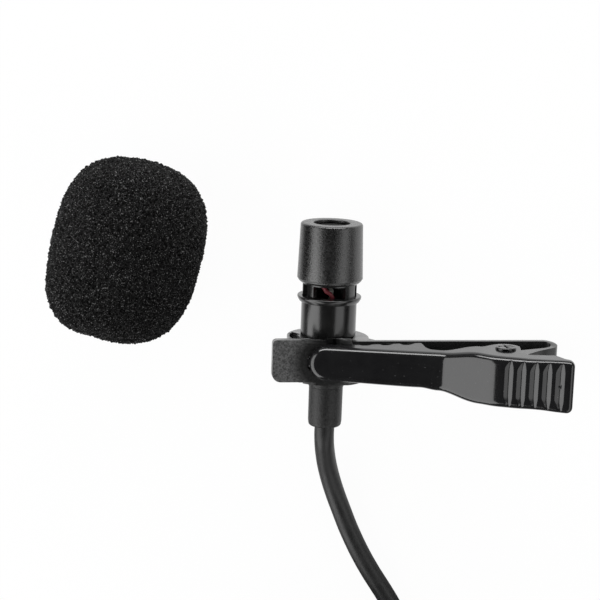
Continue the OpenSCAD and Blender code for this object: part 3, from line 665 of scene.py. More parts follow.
bmesh.ops.create_cone(bore_mesh, cap_ends=True, segments=96, radius1=RING_IN_R,
                      radius2=RING_IN_R, depth=9,
                      matrix=Matrix.Translation((0, -2.5, 0)) @ Matrix.Rotation(math.radians(90), 4, "X"))
combine(holder, to_object(bore_mesh, "bore"), "DIFFERENCE")
holder.data.transform(Matrix.Translation(MIC * MM) @ Matrix.Rotation(math.radians(ARM_TILT), 4, "Y"))
holder.name = "tab_holder"


def edge_round(piece, width, segments=3, angle=32):
    """A Bevel modifier for the small rounds that moulding or tumbling leaves."""
    change = piece.modifiers.new("edge_round", "BEVEL")
    change.width = width * MM
    change.segments = segments
    change.limit_method = "ANGLE"
    change.angle_limit = math.radians(angle)
    change.harden_normals = False
    change.use_clamp_overlap = True
    return piece


edge_round(holder, 0.14, 3)
belongs(holder, HOLDER_PLASTIC, "clip", "holder_plastic", "mic_holder")
print("holder faces:", len(holder.data.polygons))

# %% [markdown]
# ## The back arm
# One strip of sheet steel leaves the holder, slopes down to the table, turns back on itself
# and ends in a short leaf with two lugs for the pin. A strip is a line given width and then
# thickness: the line is two points and a spun bend, extruding it gives the width, and
# solidify gives the sheet. The lugs are convex hulls of two discs and the leaf's edge.

# %% Back arm
ARM_T = 0.9
STRIP_H = 4.0
BEND_R = 1.75
LEAF_TURN = math.radians(126.7)
LEAF_W = 4.9
LEAF_LEN = 6.3
tilt = math.radians(ARM_TILT)
bend_s = (MIC.z + (STRIP_H + BEND_R) * math.cos(tilt) - BEND_R) / math.sin(tilt)
bend_at = in_arm(bend_s, CLIP_Y, STRIP_H + BEND_R)
leaf_dir = Vector((math.cos(LEAF_TURN), 0, math.sin(LEAF_TURN)))
leaf_out = Vector((math.sin(LEAF_TURN), 0, -math.cos(LEAF_TURN)))
middle_r = BEND_R - ARM_T / 2

base_mesh = bmesh.new()
line = [base_mesh.verts.new(in_arm(s, CLIP_Y, STRIP_H + ARM_T / 2)) for s in (0.9, 2.6, 2.75)]
line += [base_mesh.verts.new(in_arm(2.75 + (bend_s - 2.75) * k / 6, CLIP_Y, STRIP_H + ARM_T / 2))
         for k in range(1, 7)]
for a, b in zip(line, line[1:]):
    base_mesh.edges.new((a, b))
sweep = math.atan2(leaf_out.z, leaf_out.x) - math.atan2(-math.cos(tilt), -math.sin(tilt))
bent = bmesh.ops.spin(base_mesh, geom=[line[-1]], cent=bend_at, axis=(0, -1, 0), angle=sweep % math.tau,
                      steps=20)
tip = next(g for g in bent["geom_last"] if isinstance(g, bmesh.types.BMVert))
for k in range(3):
    made = bmesh.ops.extrude_vert_indiv(base_mesh, verts=[tip])
    tip = made["verts"][0]
    bmesh.ops.translate(base_mesh, vec=leaf_dir * LEAF_LEN / 3, verts=[tip])
print("leaf ends at", tuple(round(c, 2) for c in tip.co))


base_mesh.verts.ensure_lookup_table()
starts = base_mesh.verts[:]
tongue, turn_steps = 2.0, 20
widths = [tongue] * 2 + [ARM_W / 2] * 7
widths += [ARM_W / 2 + (LEAF_W - ARM_W) / 2 * ease(k, 0, turn_steps) for k in range(1, turn_steps + 1)]
widths += [LEAF_W / 2] * 3
made = bmesh.ops.extrude_edge_only(base_mesh, edges=base_mesh.edges[:])["geom"]
fars = [g for g in made if isinstance(g, bmesh.types.BMVert)]
for start, half in zip(starts, widths):
    far = min(fars, key=lambda v: (v.co - start.co).length)
    far.co.y += half
    fars.remove(far)
    start.co.y -= half
bmesh.ops.recalc_face_normals(base_mesh, faces=base_mesh.faces)
base = to_object(base_mesh, "arm_strip", turn_out=False)
sheet = base.modifiers.new("sheet", "SOLIDIFY")
sheet.thickness = ARM_T * MM
sheet.offset = 0
sheet.use_even_offset = True
flatten(base)
for side in (-1, 1):
    lug_mesh = bmesh.new()
    for face_y in (LEAF_W / 2 - 0.6, LEAF_W / 2):
        bmesh.ops.create_circle(lug_mesh, segments=48, radius=1.8,
                                matrix=Matrix.Translation(at_clip(PIN.x, CLIP_Y + side * face_y, PIN.z))
                                @ Matrix.Rotation(math.radians(90), 4, "X"))
        for reach in (0.4, LEAF_LEN - 1.7):
            foot = bend_at + middle_r * leaf_out + reach * leaf_dir
            lug_mesh.verts.new((foot.x, foot.y + side * face_y, foot.z))
    bmesh.ops.convex_hull(lug_mesh, input=lug_mesh.verts[:])
    combine(base, to_object(lug_mesh, "lug"), "UNION")
hole_mesh = bmesh.new()
bmesh.ops.create_cone(hole_mesh, cap_ends=True, segments=48, radius1=1.05, radius2=1.05, depth=9,
                      matrix=Matrix.Translation(at_clip(PIN.x, CLIP_Y, PIN.z))
                      @ Matrix.Rotation(math.radians(90), 4, "X"))
combine(base, to_object(hole_mesh, "pin_hole"), "DIFFERENCE")
base.name = "back_arm"
edge_round(base, 0.07, 3)
belongs(base, BASE_PAINT, "clip", "base_paint", "clip_base")
print("arm faces:", len(base.data.polygons))

# %% [markdown]
# ## The lever
# The lever is one pressed sheet: a long jaw with a round nose, a rising facet and a grooved
# pad, with a skirt folded down all round and teeth along its edge. A flat grid is the
# sheet's face. Its points are moved to the plan's outline, raised to the side profile,
# rounded down at the bend and pressed in at the grooves. The border is then extruded down as the
# skirt, and a Solidify modifier gives the sheet its thickness. A Boolean of two outlines
# would be shorter, but would not give the soft bend of a pressed part.

# %% Lever's outline and profile
JAW_HALF = 2.4
NOSE_X, PAD_X = 1.0, 34.03
LEVER_T = 0.6
FOLD_R = 0.95
SKIRT_LEAN = 0.075
CORNER_R = 0.8
PROFILE = [(-1.5, 12.7), (4.5, 12.2), (16.5, 11.0), (23.65, 14.2), (34.13, 14.9)]
CREASES = {4.5: 1.5, 16.5: 0.5, 23.65: 0.8}
TEETH = [(4.5 + 2.7 * k + step, rise) for k in range(4)
         for step, rise in ((-1.85, 0.95), (-0.85, 0.95), (-0.25, 0), (0.25, 0))]
SKIRT = ([(x, arm_line(x, 5.3)) for x in (-1.5, 4.05)]
         + [(x, arm_line(x, 5.0) + rise) for x, rise in TEETH if x > 4.2]
         + [(13.2, 6.8), (13.8, 8.5), (14.6, 9.3), (15.4, 9.35), (21.6, 9.35), (22.3, 8.5), (22.78, 7.9),
            (23.4, 7.37), (24.1, 7.08), (24.7, 7.0), (25.4, 7.1), (26.1, 7.45), (26.5, 7.8), (26.62, 8.3),
            (26.72, 9.9), (26.8, 11.0), (28, 11.8), (31.4, 11.8), (32.7, 13.4), (34.13, 14.0)])
GROOVES = [26.1 + 1.68 * k for k in range(5)]
GROOVE_DEEP = 0.335
GROOVE_SLOPE, GROOVE_FLANK = 0.66, 0.55


def on_line(points, x):
    """The height of a broken line at x."""
    for (xa, za), (xb, zb) in zip(points, points[1:]):
        if x <= xb:
            return za + (zb - za) * (x - xa) / (xb - xa)
    return points[-1][1]


def face_height(x):
    """The sheet's outer face along the middle, with a small round at each crease."""
    z = on_line(PROFILE, x)
    for (xa, za), (xb, zb), (xc, zc) in zip(PROFILE, PROFILE[1:], PROFILE[2:]):
        reach = CREASES[xb]
        if abs(x - xb) < reach:
            turn = (zc - zb) / (xc - xb) - (zb - za) / (xb - xa)
            z += turn * (reach - abs(x - xb)) ** 2 / (4 * reach)
    return z


def skirt_height(x):
    """The skirt's lower edge, smoothed so that the teeth are round."""
    return sum(on_line(SKIRT, x + d) for d in (-0.2, -0.1, 0, 0.1, 0.2)) / 5


def half_side(x, low):
    """Half the lever's width at x; its lower side flares out further behind the jaw."""
    side = JAW_HALF + 0.85 * ease(x, 16, 21.5) + 0.2 * ease(x, 27.5, 33)
    if low:
        side += 0.22 * ease(x, 2, 13) + 0.3 * ease(x, 13.6, 16)
        side -= 0.12 * ease(x, 19, 23) + 0.26 * ease(x, 26.3, 31)
    return side


def half_plan(x, low):
    """Half the lever's width at x, with its round nose and the pad's round corners."""
    if x < NOSE_X:
        return math.sqrt(max(0, JAW_HALF ** 2 - (NOSE_X - x) ** 2))
    over = max(0.0, x - (PAD_X - CORNER_R))
    return half_side(x, low) - CORNER_R + math.sqrt(max(0, CORNER_R ** 2 - over ** 2))


def inward(x, y):
    """How far a point of the plan lies inside the outline."""
    if x < NOSE_X:
        return JAW_HALF - math.hypot(x - NOSE_X, y)
    side = half_side(x, y < 0)
    dx, dy = x - (PAD_X - CORNER_R), abs(y) - (side - CORNER_R)
    if dx > 0 and dy > 0:
        return CORNER_R - math.hypot(dx, dy)
    return min(PAD_X - x, side - abs(y))


def groove_depth(x, y):
    """The grooves' depth: a gentle slope down that narrows towards its ends, then a steep flank up."""
    inside = half_side(x, y < 0) - abs(y)
    grown = ease(inside, 0.3, 0.6) * (0.5 + 0.5 * ease(inside, 0.4, 1.7))
    slope, flank = GROOVE_SLOPE * max(grown, 0.01), GROOVE_FLANK * max(grown, 0.01)
    deep = 0.0
    for top in GROOVES:
        along = x - (top - GROOVE_FLANK * (0.5 + 0.5 * grown))
        if -slope < along <= 0:
            deep = 1 + along / slope
        elif 0 < along < flank:
            deep = 1 - along / flank
    return GROOVE_DEEP * deep * grown


def dimple_depth(x, y):
    """A small round pit that the press left in the pad."""
    return 0.12 * (1 - ease(math.hypot(x - 32.26, y + 0.05), 0.05, 0.26))


print("face at the facet's foot:", round(face_height(16.5), 2), "mm")

# %% Lever's sheet
stations = [NOSE_X - JAW_HALF * math.cos(math.radians(a))
            for a in (0, 4, 8, 13, 19, 26, 34, 42, 51, 60, 70, 80)]
x = NOSE_X
while x < PAD_X - CORNER_R - 0.04:
    stations.append(x)
    x += 0.16 if x < 24.9 else 0.075
stations += [PAD_X - CORNER_R + CORNER_R * math.sin(math.radians(a))
             for a in (0, 12, 24, 36, 48, 60, 72, 82, 90)]
COLUMNS = 56
sheet_mesh = bmesh.new()
bmesh.ops.create_grid(sheet_mesh, x_segments=len(stations) - 1, y_segments=COLUMNS, size=1)
for v in sheet_mesh.verts:
    x = stations[round((v.co.x + 1) / 2 * (len(stations) - 1))]
    y = half_plan(x, v.co.y < 0) * math.sin(v.co.y * math.pi / 2)
    fold_r = FOLD_R - 0.3 * ease(x, 26, 32)
    deep = max(0.0, min(fold_r, inward(x, y)))
    fold = fold_r - math.sqrt(max(0, fold_r ** 2 - (fold_r - deep) ** 2))
    v.co = at_clip(x, CLIP_Y + y, face_height(x) - groove_depth(x, y) - dimple_depth(x, y) - fold)
bmesh.ops.remove_doubles(sheet_mesh, verts=sheet_mesh.verts, dist=1e-4)
border = [e for e in sheet_mesh.edges if e.is_boundary]
for share in (0.0, 0.35, 0.5, 0.85, 1.0):
    lower, border = pulled_from(sheet_mesh, border)
    for v in lower:
        x = v.co.x - MIC.x
        drop = share * (v.co.z - skirt_height(x)) if share else 0.05
        v.co.z -= drop
        if v.co.y > MIC.y + CLIP_Y + 1:
            v.co.y += SKIRT_LEAN * drop * (1 - 0.6 * ease(x, 19, 23))
bmesh.ops.recalc_face_normals(sheet_mesh, faces=sheet_mesh.faces)
upper = max(sheet_mesh.faces, key=lambda f: f.calc_center_median().z)
if upper.normal.z < 0:
    bmesh.ops.reverse_faces(sheet_mesh, faces=sheet_mesh.faces)
lever = to_object(sheet_mesh, "lever_sheet", 60, turn_out=False)
gauge = lever.modifiers.new("gauge", "SOLIDIFY")
gauge.thickness = LEVER_T * MM
gauge.offset = -1
gauge.use_even_offset = False
belongs(lever, LEVER_PAINT, "lever", "lever_paint", "clip_lever")
print("lever faces:", len(lever.data.polygons))

# %% [markdown]
# ## The hinge pin
# A rivet goes through both skirts. Its upper head has a crossed recess, and the lower end
# is spread. The heads are bevelled cylinders. The cross is two thin boxes cut out of one.

# %% Pin
PIN_TURN = Matrix.Translation(at_clip(PIN.x, CLIP_Y, PIN.z)) @ Matrix.Rotation(math.radians(-90), 4, "X")
HEAD_R, SHANK_R = 1.4, 1.0
pin_mesh = bmesh.new()
turned(pin_mesh, [(0, -4.35), (1.12, -4.35), (HEAD_R, -3.65), (SHANK_R, -3.65), (SHANK_R, 3.25),
                  (HEAD_R, 3.25), (HEAD_R, 3.65), (0, 3.65)], steps=64, closed=False)
soften(pin_mesh, 0.15, 4, where=lambda m: m.z > 3.6)
soften(pin_mesh, 0.12, 3, where=lambda m: m.z < -4.3)
pin = to_object(pin_mesh, "hinge_pin")
for turn in (20, 110):
    slot_mesh = bmesh.new()
    box_between(slot_mesh, (-1.0, -0.17, 3.35), (1.0, 0.17, 4.2))
    bmesh.ops.rotate(slot_mesh, cent=(0, 0, 0), matrix=Matrix.Rotation(math.radians(turn), 3, "Z"),
                     verts=slot_mesh.verts)
    combine(pin, to_object(slot_mesh, "recess"), "DIFFERENCE")
pin.data.transform(Matrix.Translation(PIN_TURN.translation * MM) @ PIN_TURN.to_3x3().to_4x4())
belongs(pin, PIN_STEEL, "lever", "pin_steel", "clip_pin")
print("pin faces:", len(pin.data.polygons))

# %% [markdown]
# ## The torsion spring
# The spring's wire goes round the pin almost three times. One leg lies on the arm's leaf
# and the other presses up under the pad. Spin with a step along the axis makes a helix from
# one circle, and its two end circles are extruded as the legs.

# %% Spring
WIRE_D = 0.6
SPRING_R = 1.55
SPRING_PITCH = 1.02
SPRING_A = (36.7, 1037.9)
BASE_LEG, LEVER_LEG = 4.6, 6.6
LEVER_LEG_AT = math.radians(47.9)
spring_turns = (SPRING_A[1] - SPRING_A[0]) / 360
spring_y0 = -SPRING_PITCH * spring_turns / 2
first = math.radians(SPRING_A[0])
spring_mesh = bmesh.new()
start = at_clip(PIN.x + SPRING_R * math.cos(first), CLIP_Y + spring_y0, PIN.z + SPRING_R * math.sin(first))
aim = Vector((-math.sin(first), 0, math.cos(first))).to_track_quat("Z", "Y").to_matrix().to_4x4()
bmesh.ops.create_circle(spring_mesh, segments=14, radius=WIRE_D / 2, matrix=Matrix.Translation(start) @ aim)
start_edges = spring_mesh.edges[:]
steps = round(32 * spring_turns)
coiled = bmesh.ops.spin(spring_mesh, geom=start_edges, cent=at_clip(PIN.x, CLIP_Y, PIN.z), axis=(0, -1, 0),
                        dvec=(0, SPRING_PITCH * spring_turns / steps, 0),
                        angle=math.radians(SPRING_A[1] - SPRING_A[0]), steps=steps)
end_edges = [g for g in coiled["geom_last"] if isinstance(g, bmesh.types.BMEdge)]
lever_leg_dir = Vector((math.cos(LEVER_LEG_AT), 0, math.sin(LEVER_LEG_AT)))
legs = ((start_edges, -leaf_dir * BASE_LEG + Vector((-0.14, 0, -0.09))),
        (end_edges, lever_leg_dir * LEVER_LEG))
for edges, pull in legs:
    verts, tips = pulled_from(spring_mesh, edges)
    bmesh.ops.translate(spring_mesh, vec=pull, verts=verts)
    bmesh.ops.contextual_create(spring_mesh, geom=tips)
spring = belongs(to_object(spring_mesh, "torsion_spring"), SPRING_STEEL, None, "spring_steel", "clip_spring")
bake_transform(spring)
print("spring turns:", round(spring_turns, 2))

# %% [markdown]
# ## The foam windscreen
# The windscreen is a cup of open-cell foam, rounder than a cylinder. Its outline and its
# bore are spun as one closed shell. A voxel remesh then spreads the points evenly, and each
# point is moved by cell noise, so the cut cells of the foam are real pits and stubs that
# also roughen the outline. A bump map alone would leave a smooth silhouette.

# %% Windscreen
FOAM_D, FOAM_LEN = 20.8, 25.0
FOAM_END = FOAM_LEN / 2 - 0.6
FOAM_POWER = 2.8
FOAM_TURN = -13
FOAM_AT = Vector((-25.25, 5.4, 10.4))
FOAM_CELL = 0.5
FOAM_PIT = 0.42
FOAM_SINK = 0.1
BORE_R, BORE_DEEP = 4.0, 15
FOAM_SHOULDER = Vector((-34.6, -4.2, 10.4))
foam_start = math.asin((FOAM_END / (FOAM_LEN / 2)) ** (FOAM_POWER / 2))


def foam_edge(angle):
    """A point (radius, height) of the foam's outline: a fuller curve than an ellipse."""
    c, s = math.cos(angle), math.sin(angle)
    along = math.copysign(abs(s) ** (2 / FOAM_POWER), s)
    return (FOAM_D / 2 * abs(c) ** (2 / FOAM_POWER), FOAM_LEN / 2 * along)


foam_mesh = bmesh.new()
cuts = 60
outline = [(0, BORE_DEEP - FOAM_END), (BORE_R, BORE_DEEP - FOAM_END), (BORE_R, -FOAM_END)]
outline += [foam_edge(-foam_start + (math.pi / 2 + foam_start) * i / cuts) for i in range(cuts)]
turned(foam_mesh, outline + [(0, FOAM_LEN / 2)], steps=180, closed=False)
foam_place = (Matrix.Translation(FOAM_AT) @ Matrix.Rotation(math.radians(FOAM_TURN), 4, "Z")
              @ Matrix.Rotation(math.radians(-90), 4, "X"))
bmesh.ops.transform(foam_mesh, matrix=foam_place, verts=foam_mesh.verts)
foam = to_object(foam_mesh, "foam_windscreen")
even = foam.modifiers.new("even", "REMESH")
even.mode = "VOXEL"
even.voxel_size = 0.145 * MM
even.use_smooth_shade = True
flatten(foam)
foam_points = bmesh.new()
foam_points.from_mesh(foam.data)
foam_points.normal_update()
for v in foam_points.verts:
    spot = v.co / MM
    near, points = noise.voronoi(spot / FOAM_CELL, distance_metric="DISTANCE", exponent=2.5)
    wall = min(1.0, (near[1] - near[0]) * 1.6)
    lump = 0.06 * noise.noise(spot / 2.2) + 0.28 * noise.noise(spot / 0.36)
    fuller = 0.5 * (1 - ease((spot - FOAM_SHOULDER).xy.length, 1.5, 7.0))
    v.co += v.normal * (lump + fuller - FOAM_PIT * wall - FOAM_SINK) * MM
foam_points.to_mesh(foam.data)
foam_points.free()
foam.data.shade_smooth()
print("foam faces:", len(foam.data.polygons))

# %% [markdown]
# ## Foam material
# The foam is nearly black. What one sees of its grain is tiny bright ends of the struts
# between dark cells, and this light and shade are painted into its colour. Cells of the size
# that shaped the mesh and a finer noise are added, and a ramp turns the sum into black pits
# of painted shade, grey struts and a few light specks that are painted highlights.

# %% Foam finish
FOAM, nodes, links, foam_shader = node_material("foam")
foam_shader.inputs["Roughness"].default_value = 0.9
foam_shader.inputs["Specular IOR Level"].default_value = 0.12
foam_shader.inputs["Sheen Weight"].default_value = 0.045
foam_shader.inputs["Sheen Roughness"].default_value = 0.4
cells = nodes.new("ShaderNodeTexVoronoi")
cells.inputs["Scale"].default_value = 1 / (FOAM_CELL * MM)
links.new(nodes.new("ShaderNodeTexCoord").outputs["Object"], cells.inputs["Vector"])
struts = noise_node(nodes, links, 0.17, 1.0)
both = math_node(nodes, links, "MULTIPLY_ADD", cells.outputs["Distance"], 0.12, struts.outputs["Fac"])
# Painted shade in the cells' pits and painted highlights on the struts' ends.
tones = ramp_node(nodes, links, both,
                  [(0.42, 0.001), (0.60, 0.006), (0.72, 0.030), (0.80, 0.2)])
links.new(tones.outputs["Color"], foam_shader.inputs["Base Color"])
relief_node = nodes.new("ShaderNodeBump")
relief_node.inputs["Distance"].default_value = 0.16 * MM
links.new(both, relief_node.inputs["Height"])
links.new(relief_node.outputs["Normal"], foam_shader.inputs["Normal"])
belongs(foam, FOAM, "foam", "foam", "windscreen")
print("foam finish made")

# %% [markdown]
# ## The strap round the coil
# The coil is held by a fabric strap. It is a rounded loop: a rectangle whose corners are
# bevelled, pulled to its width and given its thickness.

# %% Strap
STRAP = finish_of("tie_fabric", 0.008, 0.02, 0.85, grain=0.18, bump=0.05, wide=1.2, sheen=0.3)
TIE_W, TIE_T = 5.0, 0.6
tie_mesh = bmesh.new()
TIE_LOW, TIE_HIGH = (8.7 - TIE_T / 2, TIE_T / 2), (22.7 + TIE_T / 2, 13.5 + TIE_T / 2)
corners = [tie_mesh.verts.new((x, -TIE_W / 2, z)) for x, z in
           (TIE_LOW, (TIE_HIGH[0], TIE_LOW[1]), TIE_HIGH, (TIE_LOW[0], TIE_HIGH[1]))]
tie_mesh.faces.new(corners)
bmesh.ops.bevel(tie_mesh, geom=corners, offset=1.3, offset_type="OFFSET", segments=8, profile=0.5,
                affect="VERTICES", material=-1)
bmesh.ops.delete(tie_mesh, geom=tie_mesh.faces[:], context="FACES_ONLY")
edges = tie_mesh.edges[:]
for k in range(6):
    verts, edges = pulled_from(tie_mesh, edges)
    bmesh.ops.translate(tie_mesh, vec=(0, TIE_W / 6, 0), verts=verts)
tie_place = Matrix.Translation(COIL_AT) @ Matrix.Rotation(math.radians(TIE_AT), 4, "Z")
bmesh.ops.transform(tie_mesh, matrix=tie_place, verts=tie_mesh.verts)
tie = to_object(tie_mesh, "coil_strap", 60)
thick = tie.modifiers.new("thick", "SOLIDIFY")
thick.thickness = TIE_T * MM * 0.96
thick.offset = 0
edge_round(tie, 0.12, 2)
belongs(tie, STRAP, "microphone", "tie_fabric", "cord_tie")
print("strap made")

# %% [markdown]
# ## The plug
# The cord ends in a 3.5 mm plug with four contacts. Every piece of it is turned: a ribbed
# boot, a knurl-free handle with a shallow waist, and the plated contacts with dark bands.

# %% Plug
PLUG_AT = Vector((5.6, -100.5, 3.6))
PLUG_PLACE = Matrix.Translation(PLUG_AT) @ Matrix.Rotation(math.radians(-90), 4, "Y")
HANDLE_PLASTIC = finish_of("handle_plastic", 0.010, 0.016, 0.4, grain=0.3, bump=0.01)
CONTACT_GOLD = finish_of("contact_gold", (0.75, 0.50, 0.18), (0.85, 0.60, 0.25), 0.2, grain=0.2, bump=0.002,
                         metallic=1.0, stretch=(0.2, 1, 1))
BAND_PLASTIC = finish_of("band_plastic", 0.010, 0.014, 0.35, grain=0.2, bump=0.003)


def plug_part(name, outline, finish, slot, node, width=0.12, closed=True):
    """A turned piece of the plug, its z towards the tip."""
    bm = bmesh.new()
    turned(bm, outline, steps=64, closed=closed)
    soften(bm, width, 3, 40)
    bmesh.ops.transform(bm, matrix=PLUG_PLACE, verts=bm.verts)
    return belongs(to_object(bm, name), finish, "microphone", slot, node)


boot = [(1.42, 0), (1.9, 0), (2.0, 1.2)]
for k in range(4):
    z, fatter = 1.5 + 1.9 * k, 0.1 * k
    boot += [(2.15 + fatter, z), (2.2 + fatter, z + 1.1), (1.95 + fatter, z + 1.3), (1.95 + fatter, z + 1.7)]
boot += [(2.6, 9.2), (2.6, 10.0), (2.1, 10.0), (2.1, 14.0), (1.42, 14.0)]
cord_pieces = [
    tie,
    plug_part("plug_boot_sleeve", boot, RELIEF_RUBBER, "plug_rubber", "plug_boot", 0.08),
    plug_part("plug_grip", [(2.12, 10), (3.45, 10), (3.6, 11.2), (3.4, 15), (3.35, 20), (3.4, 25),
                            (3.6, 28.8), (3.3, 30), (1.58, 30), (1.58, 28), (2.6, 28), (2.6, 14.2),
                            (2.12, 14.2)],
              HANDLE_PLASTIC, "handle_plastic", "plug_handle", 0.25),
    plug_part("plug_sleeve_contact", [(1.17, 24), (2.5, 24), (2.5, 27.9), (1.55, 27.9), (1.55, 30),
                                      (1.75, 30), (1.75, 34.3), (1.17, 34.3)],
              CONTACT_GOLD, "contact_gold", "plug_sleeve", 0.05),
    plug_part("plug_ring_contact_2", [(1.17, 34.9), (1.75, 34.9), (1.75, 37.2), (1.17, 37.2)], CONTACT_GOLD,
              "contact_gold", "plug_ring_2", 0.04),
    plug_part("plug_ring_contact_1", [(1.17, 37.8), (1.75, 37.8), (1.75, 39.9), (1.17, 39.9)], CONTACT_GOLD,
              "contact_gold", "plug_ring_1", 0.04),
    plug_part("plug_tip_contact", [(0, 22), (0.6, 22), (0.6, 40.4), (1.75, 40.4), (1.75, 40.6), (1.15, 41.3),
                                   (1.15, 41.6), (1.7, 42.3), (1.5, 42.9), (0.9, 43.6), (0.35, 44), (0, 44)],
              CONTACT_GOLD, "contact_gold", "plug_tip", 0.06, closed=False),
    plug_part("plug_bands", [(0.61, 23), (1.15, 23), (1.15, 34.32), (1.74, 34.32), (1.74, 34.88),
                             (1.15, 34.88), (1.15, 37.22), (1.74, 37.22), (1.74, 37.78), (1.15, 37.78),
                             (1.15, 39.92), (1.74, 39.92), (1.74, 40.38), (0.61, 40.38)],
              BAND_PLASTIC, "band_plastic", "plug_insulator", 0.02)]
print("plug pieces:", len(cord_pieces) - 1)

# %% [markdown]
# ## The capsule inside
# The parts of the electret capsule keep their CAD shapes: they are small turned and cut
# parts that no one sees until the cap is off. Each still gets its own finish.

# %% Capsule finishes
CAN_METAL = finish_of("can_metal", 0.48, 0.6, 0.3, grain=0.1, bump=0.003, metallic=1.0)
FILM = finish_of("film", (0.45, 0.42, 0.30), (0.55, 0.52, 0.38), 0.2, grain=0.4, bump=0.002, metallic=0.6)
SPACER = finish_of("spacer_plastic", (0.55, 0.50, 0.40), (0.66, 0.61, 0.50), 0.5, grain=0.3, bump=0.004)
BRASS = finish_of("plate_brass", (0.50, 0.30, 0.10), (0.62, 0.40, 0.15), 0.32, grain=0.15, bump=0.003,
                  metallic=1.0)
INSULATOR = finish_of("insulator_plastic", (0.62, 0.60, 0.54), (0.74, 0.72, 0.66), 0.5, grain=0.3, bump=0.004)
BOARD = finish_of("board", (0.02, 0.11, 0.05), (0.04, 0.17, 0.08), 0.45, grain=0.25, bump=0.006)
CHIP = finish_of("chip", 0.010, 0.02, 0.5, grain=0.12, bump=0.006)
CRIMP = finish_of("crimp_metal", (0.40, 0.38, 0.34), (0.52, 0.50, 0.46), 0.4, grain=0.2, bump=0.006,
                  metallic=1.0)
INSIDE = {"dust_felt": (FELT, "felt"), "capsule_can": (CAN_METAL, "can_metal"),
          "capsule_diaphragm": (FILM, "film"), "capsule_spacer": (SPACER, "spacer_plastic"),
          "capsule_backplate": (BRASS, "plate_brass"), "capsule_insulator": (INSULATOR, "insulator_plastic"),
          "capsule_board": (BOARD, "board"), "capsule_transistor": (CHIP, "chip"),
          "capsule_boot": (RELIEF_RUBBER, "boot_rubber"), "inner_cable": (CORD_JACKET, "cord_jacket"),
          "cable_crimp": (CRIMP, "crimp_metal")}
for name, (finish, slot) in INSIDE.items():
    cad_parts[name].data.materials.clear()
    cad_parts[name].data.materials.append(finish)
print("inner parts finished:", len(INSIDE))

# %% [markdown]
# ## Table, world and lamps
# The table is a wide pale sheet. To the camera it is mixed with plain white light of
# strength 1, so that it reads as a white backdrop and still keeps a soft shadow. Reflections
# see that light bright only near the object, as from a small sheet of paper in a dark room.
# The world is grey at the horizon and darker overhead, but plain white to the camera. Two
# soft boxes stand left and right of the table, a narrow strip stands beyond the head, and a
# fill that does not show in reflections brings the level up.

# %% Table
floor_mesh = bmesh.new()
bmesh.ops.create_grid(floor_mesh, x_segments=8, y_segments=8, size=4000)
floor = to_object(floor_mesh, "studio_floor")
floor.data.transform(Matrix.Translation((0, 0, -0.00005)))
TABLE_WHITE, nodes, links, paper = node_material("table_white")
paper.inputs["Roughness"].default_value = 0.9
grain = noise_node(nodes, links, 900, 2.0)
paper_tones = ramp_node(nodes, links, grain.outputs["Fac"], [(0.3, 0.84), (0.7, 0.86)])
links.new(paper_tones.outputs["Color"], paper.inputs["Base Color"])
glow = nodes.new("ShaderNodeEmission")
glow.inputs["Strength"].default_value = 1.0
spot = nodes.new("ShaderNodeTexCoord")
flat = nodes.new("ShaderNodeMapping")
flat.inputs["Location"].default_value = (-0.35, 0, 0)
flat.inputs["Scale"].default_value = (1 / 0.042, 1 / 0.045, 0)
links.new(spot.outputs["Object"], flat.inputs["Vector"])
reach = nodes.new("ShaderNodeVectorMath")
reach.operation = "LENGTH"
links.new(flat.outputs["Vector"], reach.inputs[0])
sheet_edge = ramp_node(nodes, links, reach.outputs["Value"], [(0.6, 1.0), (1.0, 0.12)])
ray = nodes.new("ShaderNodeLightPath")
by_eye = nodes.new("ShaderNodeMix")
by_eye.data_type = "RGBA"
by_eye.inputs["B"].default_value = (1, 1, 1, 1)
links.new(ray.outputs["Is Camera Ray"], by_eye.inputs["Factor"])
links.new(sheet_edge.outputs["Color"], by_eye.inputs["A"])
links.new(by_eye.outputs["Result"], glow.inputs["Color"])
seen = math_node(nodes, links, "MAXIMUM", ray.outputs["Is Camera Ray"], ray.outputs["Is Glossy Ray"])
seen = math_node(nodes, links, "MAXIMUM", seen, ray.outputs["Is Transmission Ray"])
part_seen = math_node(nodes, links, "MULTIPLY", seen, 0.96)
blend_node = nodes.new("ShaderNodeMixShader")
links.new(part_seen, blend_node.inputs["Fac"])
links.new(paper.outputs["BSDF"], blend_node.inputs[1])
links.new(glow.outputs["Emission"], blend_node.inputs[2])
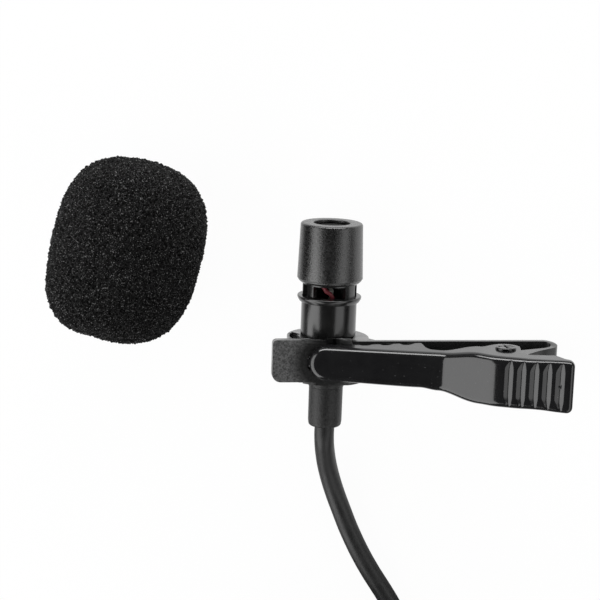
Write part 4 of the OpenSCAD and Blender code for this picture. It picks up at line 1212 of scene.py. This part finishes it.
links.new(blend_node.outputs["Shader"], nodes["Material Output"].inputs["Surface"])
floor.data.materials.append(TABLE_WHITE)
print("table ready")

# %% World
world = bpy.data.worlds.new("studio_world")
bpy.context.scene.world = world
world.use_nodes = True
nodes, links = world.node_tree.nodes, world.node_tree.links
background = nodes["Background"]
sky = nodes.new("ShaderNodeTexCoord")
split = nodes.new("ShaderNodeSeparateXYZ")
links.new(sky.outputs["Generated"], split.inputs["Vector"])
walls = ramp_node(nodes, links, split.outputs["Z"],
                  [(0.0, 0.30), (0.05, 0.12), (0.36, 0.06), (1.0, 0.04)])
links.new(walls.outputs["Color"], background.inputs["Color"])
white = nodes.new("ShaderNodeBackground")
white.inputs["Color"].default_value = (1, 1, 1, 1)
ray = nodes.new("ShaderNodeLightPath")
pick = nodes.new("ShaderNodeMixShader")
links.new(ray.outputs["Is Camera Ray"], pick.inputs["Fac"])
links.new(background.outputs["Background"], pick.inputs[1])
links.new(white.outputs["Background"], pick.inputs[2])
links.new(pick.outputs["Shader"], nodes["World Output"].inputs["Surface"])
print("world ready")


# %% Lamps
def soft_box(name, place, size, glow_level, seen_in_gloss=True):
    """An area lamp that faces the object; glow_level is the brightness of its face."""
    lamp = bpy.data.lights.new(name, "AREA")
    lamp.shape = "RECTANGLE"
    lamp.size, lamp.size_y = size
    lamp.energy = glow_level * math.pi * size[0] * size[1]
    box = bpy.data.objects.new(name, lamp)
    bpy.context.scene.collection.objects.link(box)
    box.location = place
    box.rotation_mode = "QUATERNION"
    box.rotation_quaternion = (-Vector(place)).to_track_quat("-Z", "Y")
    box.visible_glossy = seen_in_gloss
    box.visible_camera = False
    return box


soft_box("left_box", (-0.67, -0.3, 0.436), (1.6, 0.89), 2.5)
soft_box("right_box", (0.566, -0.3, 0.411), (1.6, 0.48), 1.25)
soft_box("head_strip", (0, 0.8, 0.27), (1.3, 0.3), 8.0)
soft_box("fill_box", (-0.05, -0.1, 1.1), (0.9, 0.9), 1.0, seen_in_gloss=False)
bpy.context.scene.view_settings.view_transform = "Standard"
print("lamps ready")
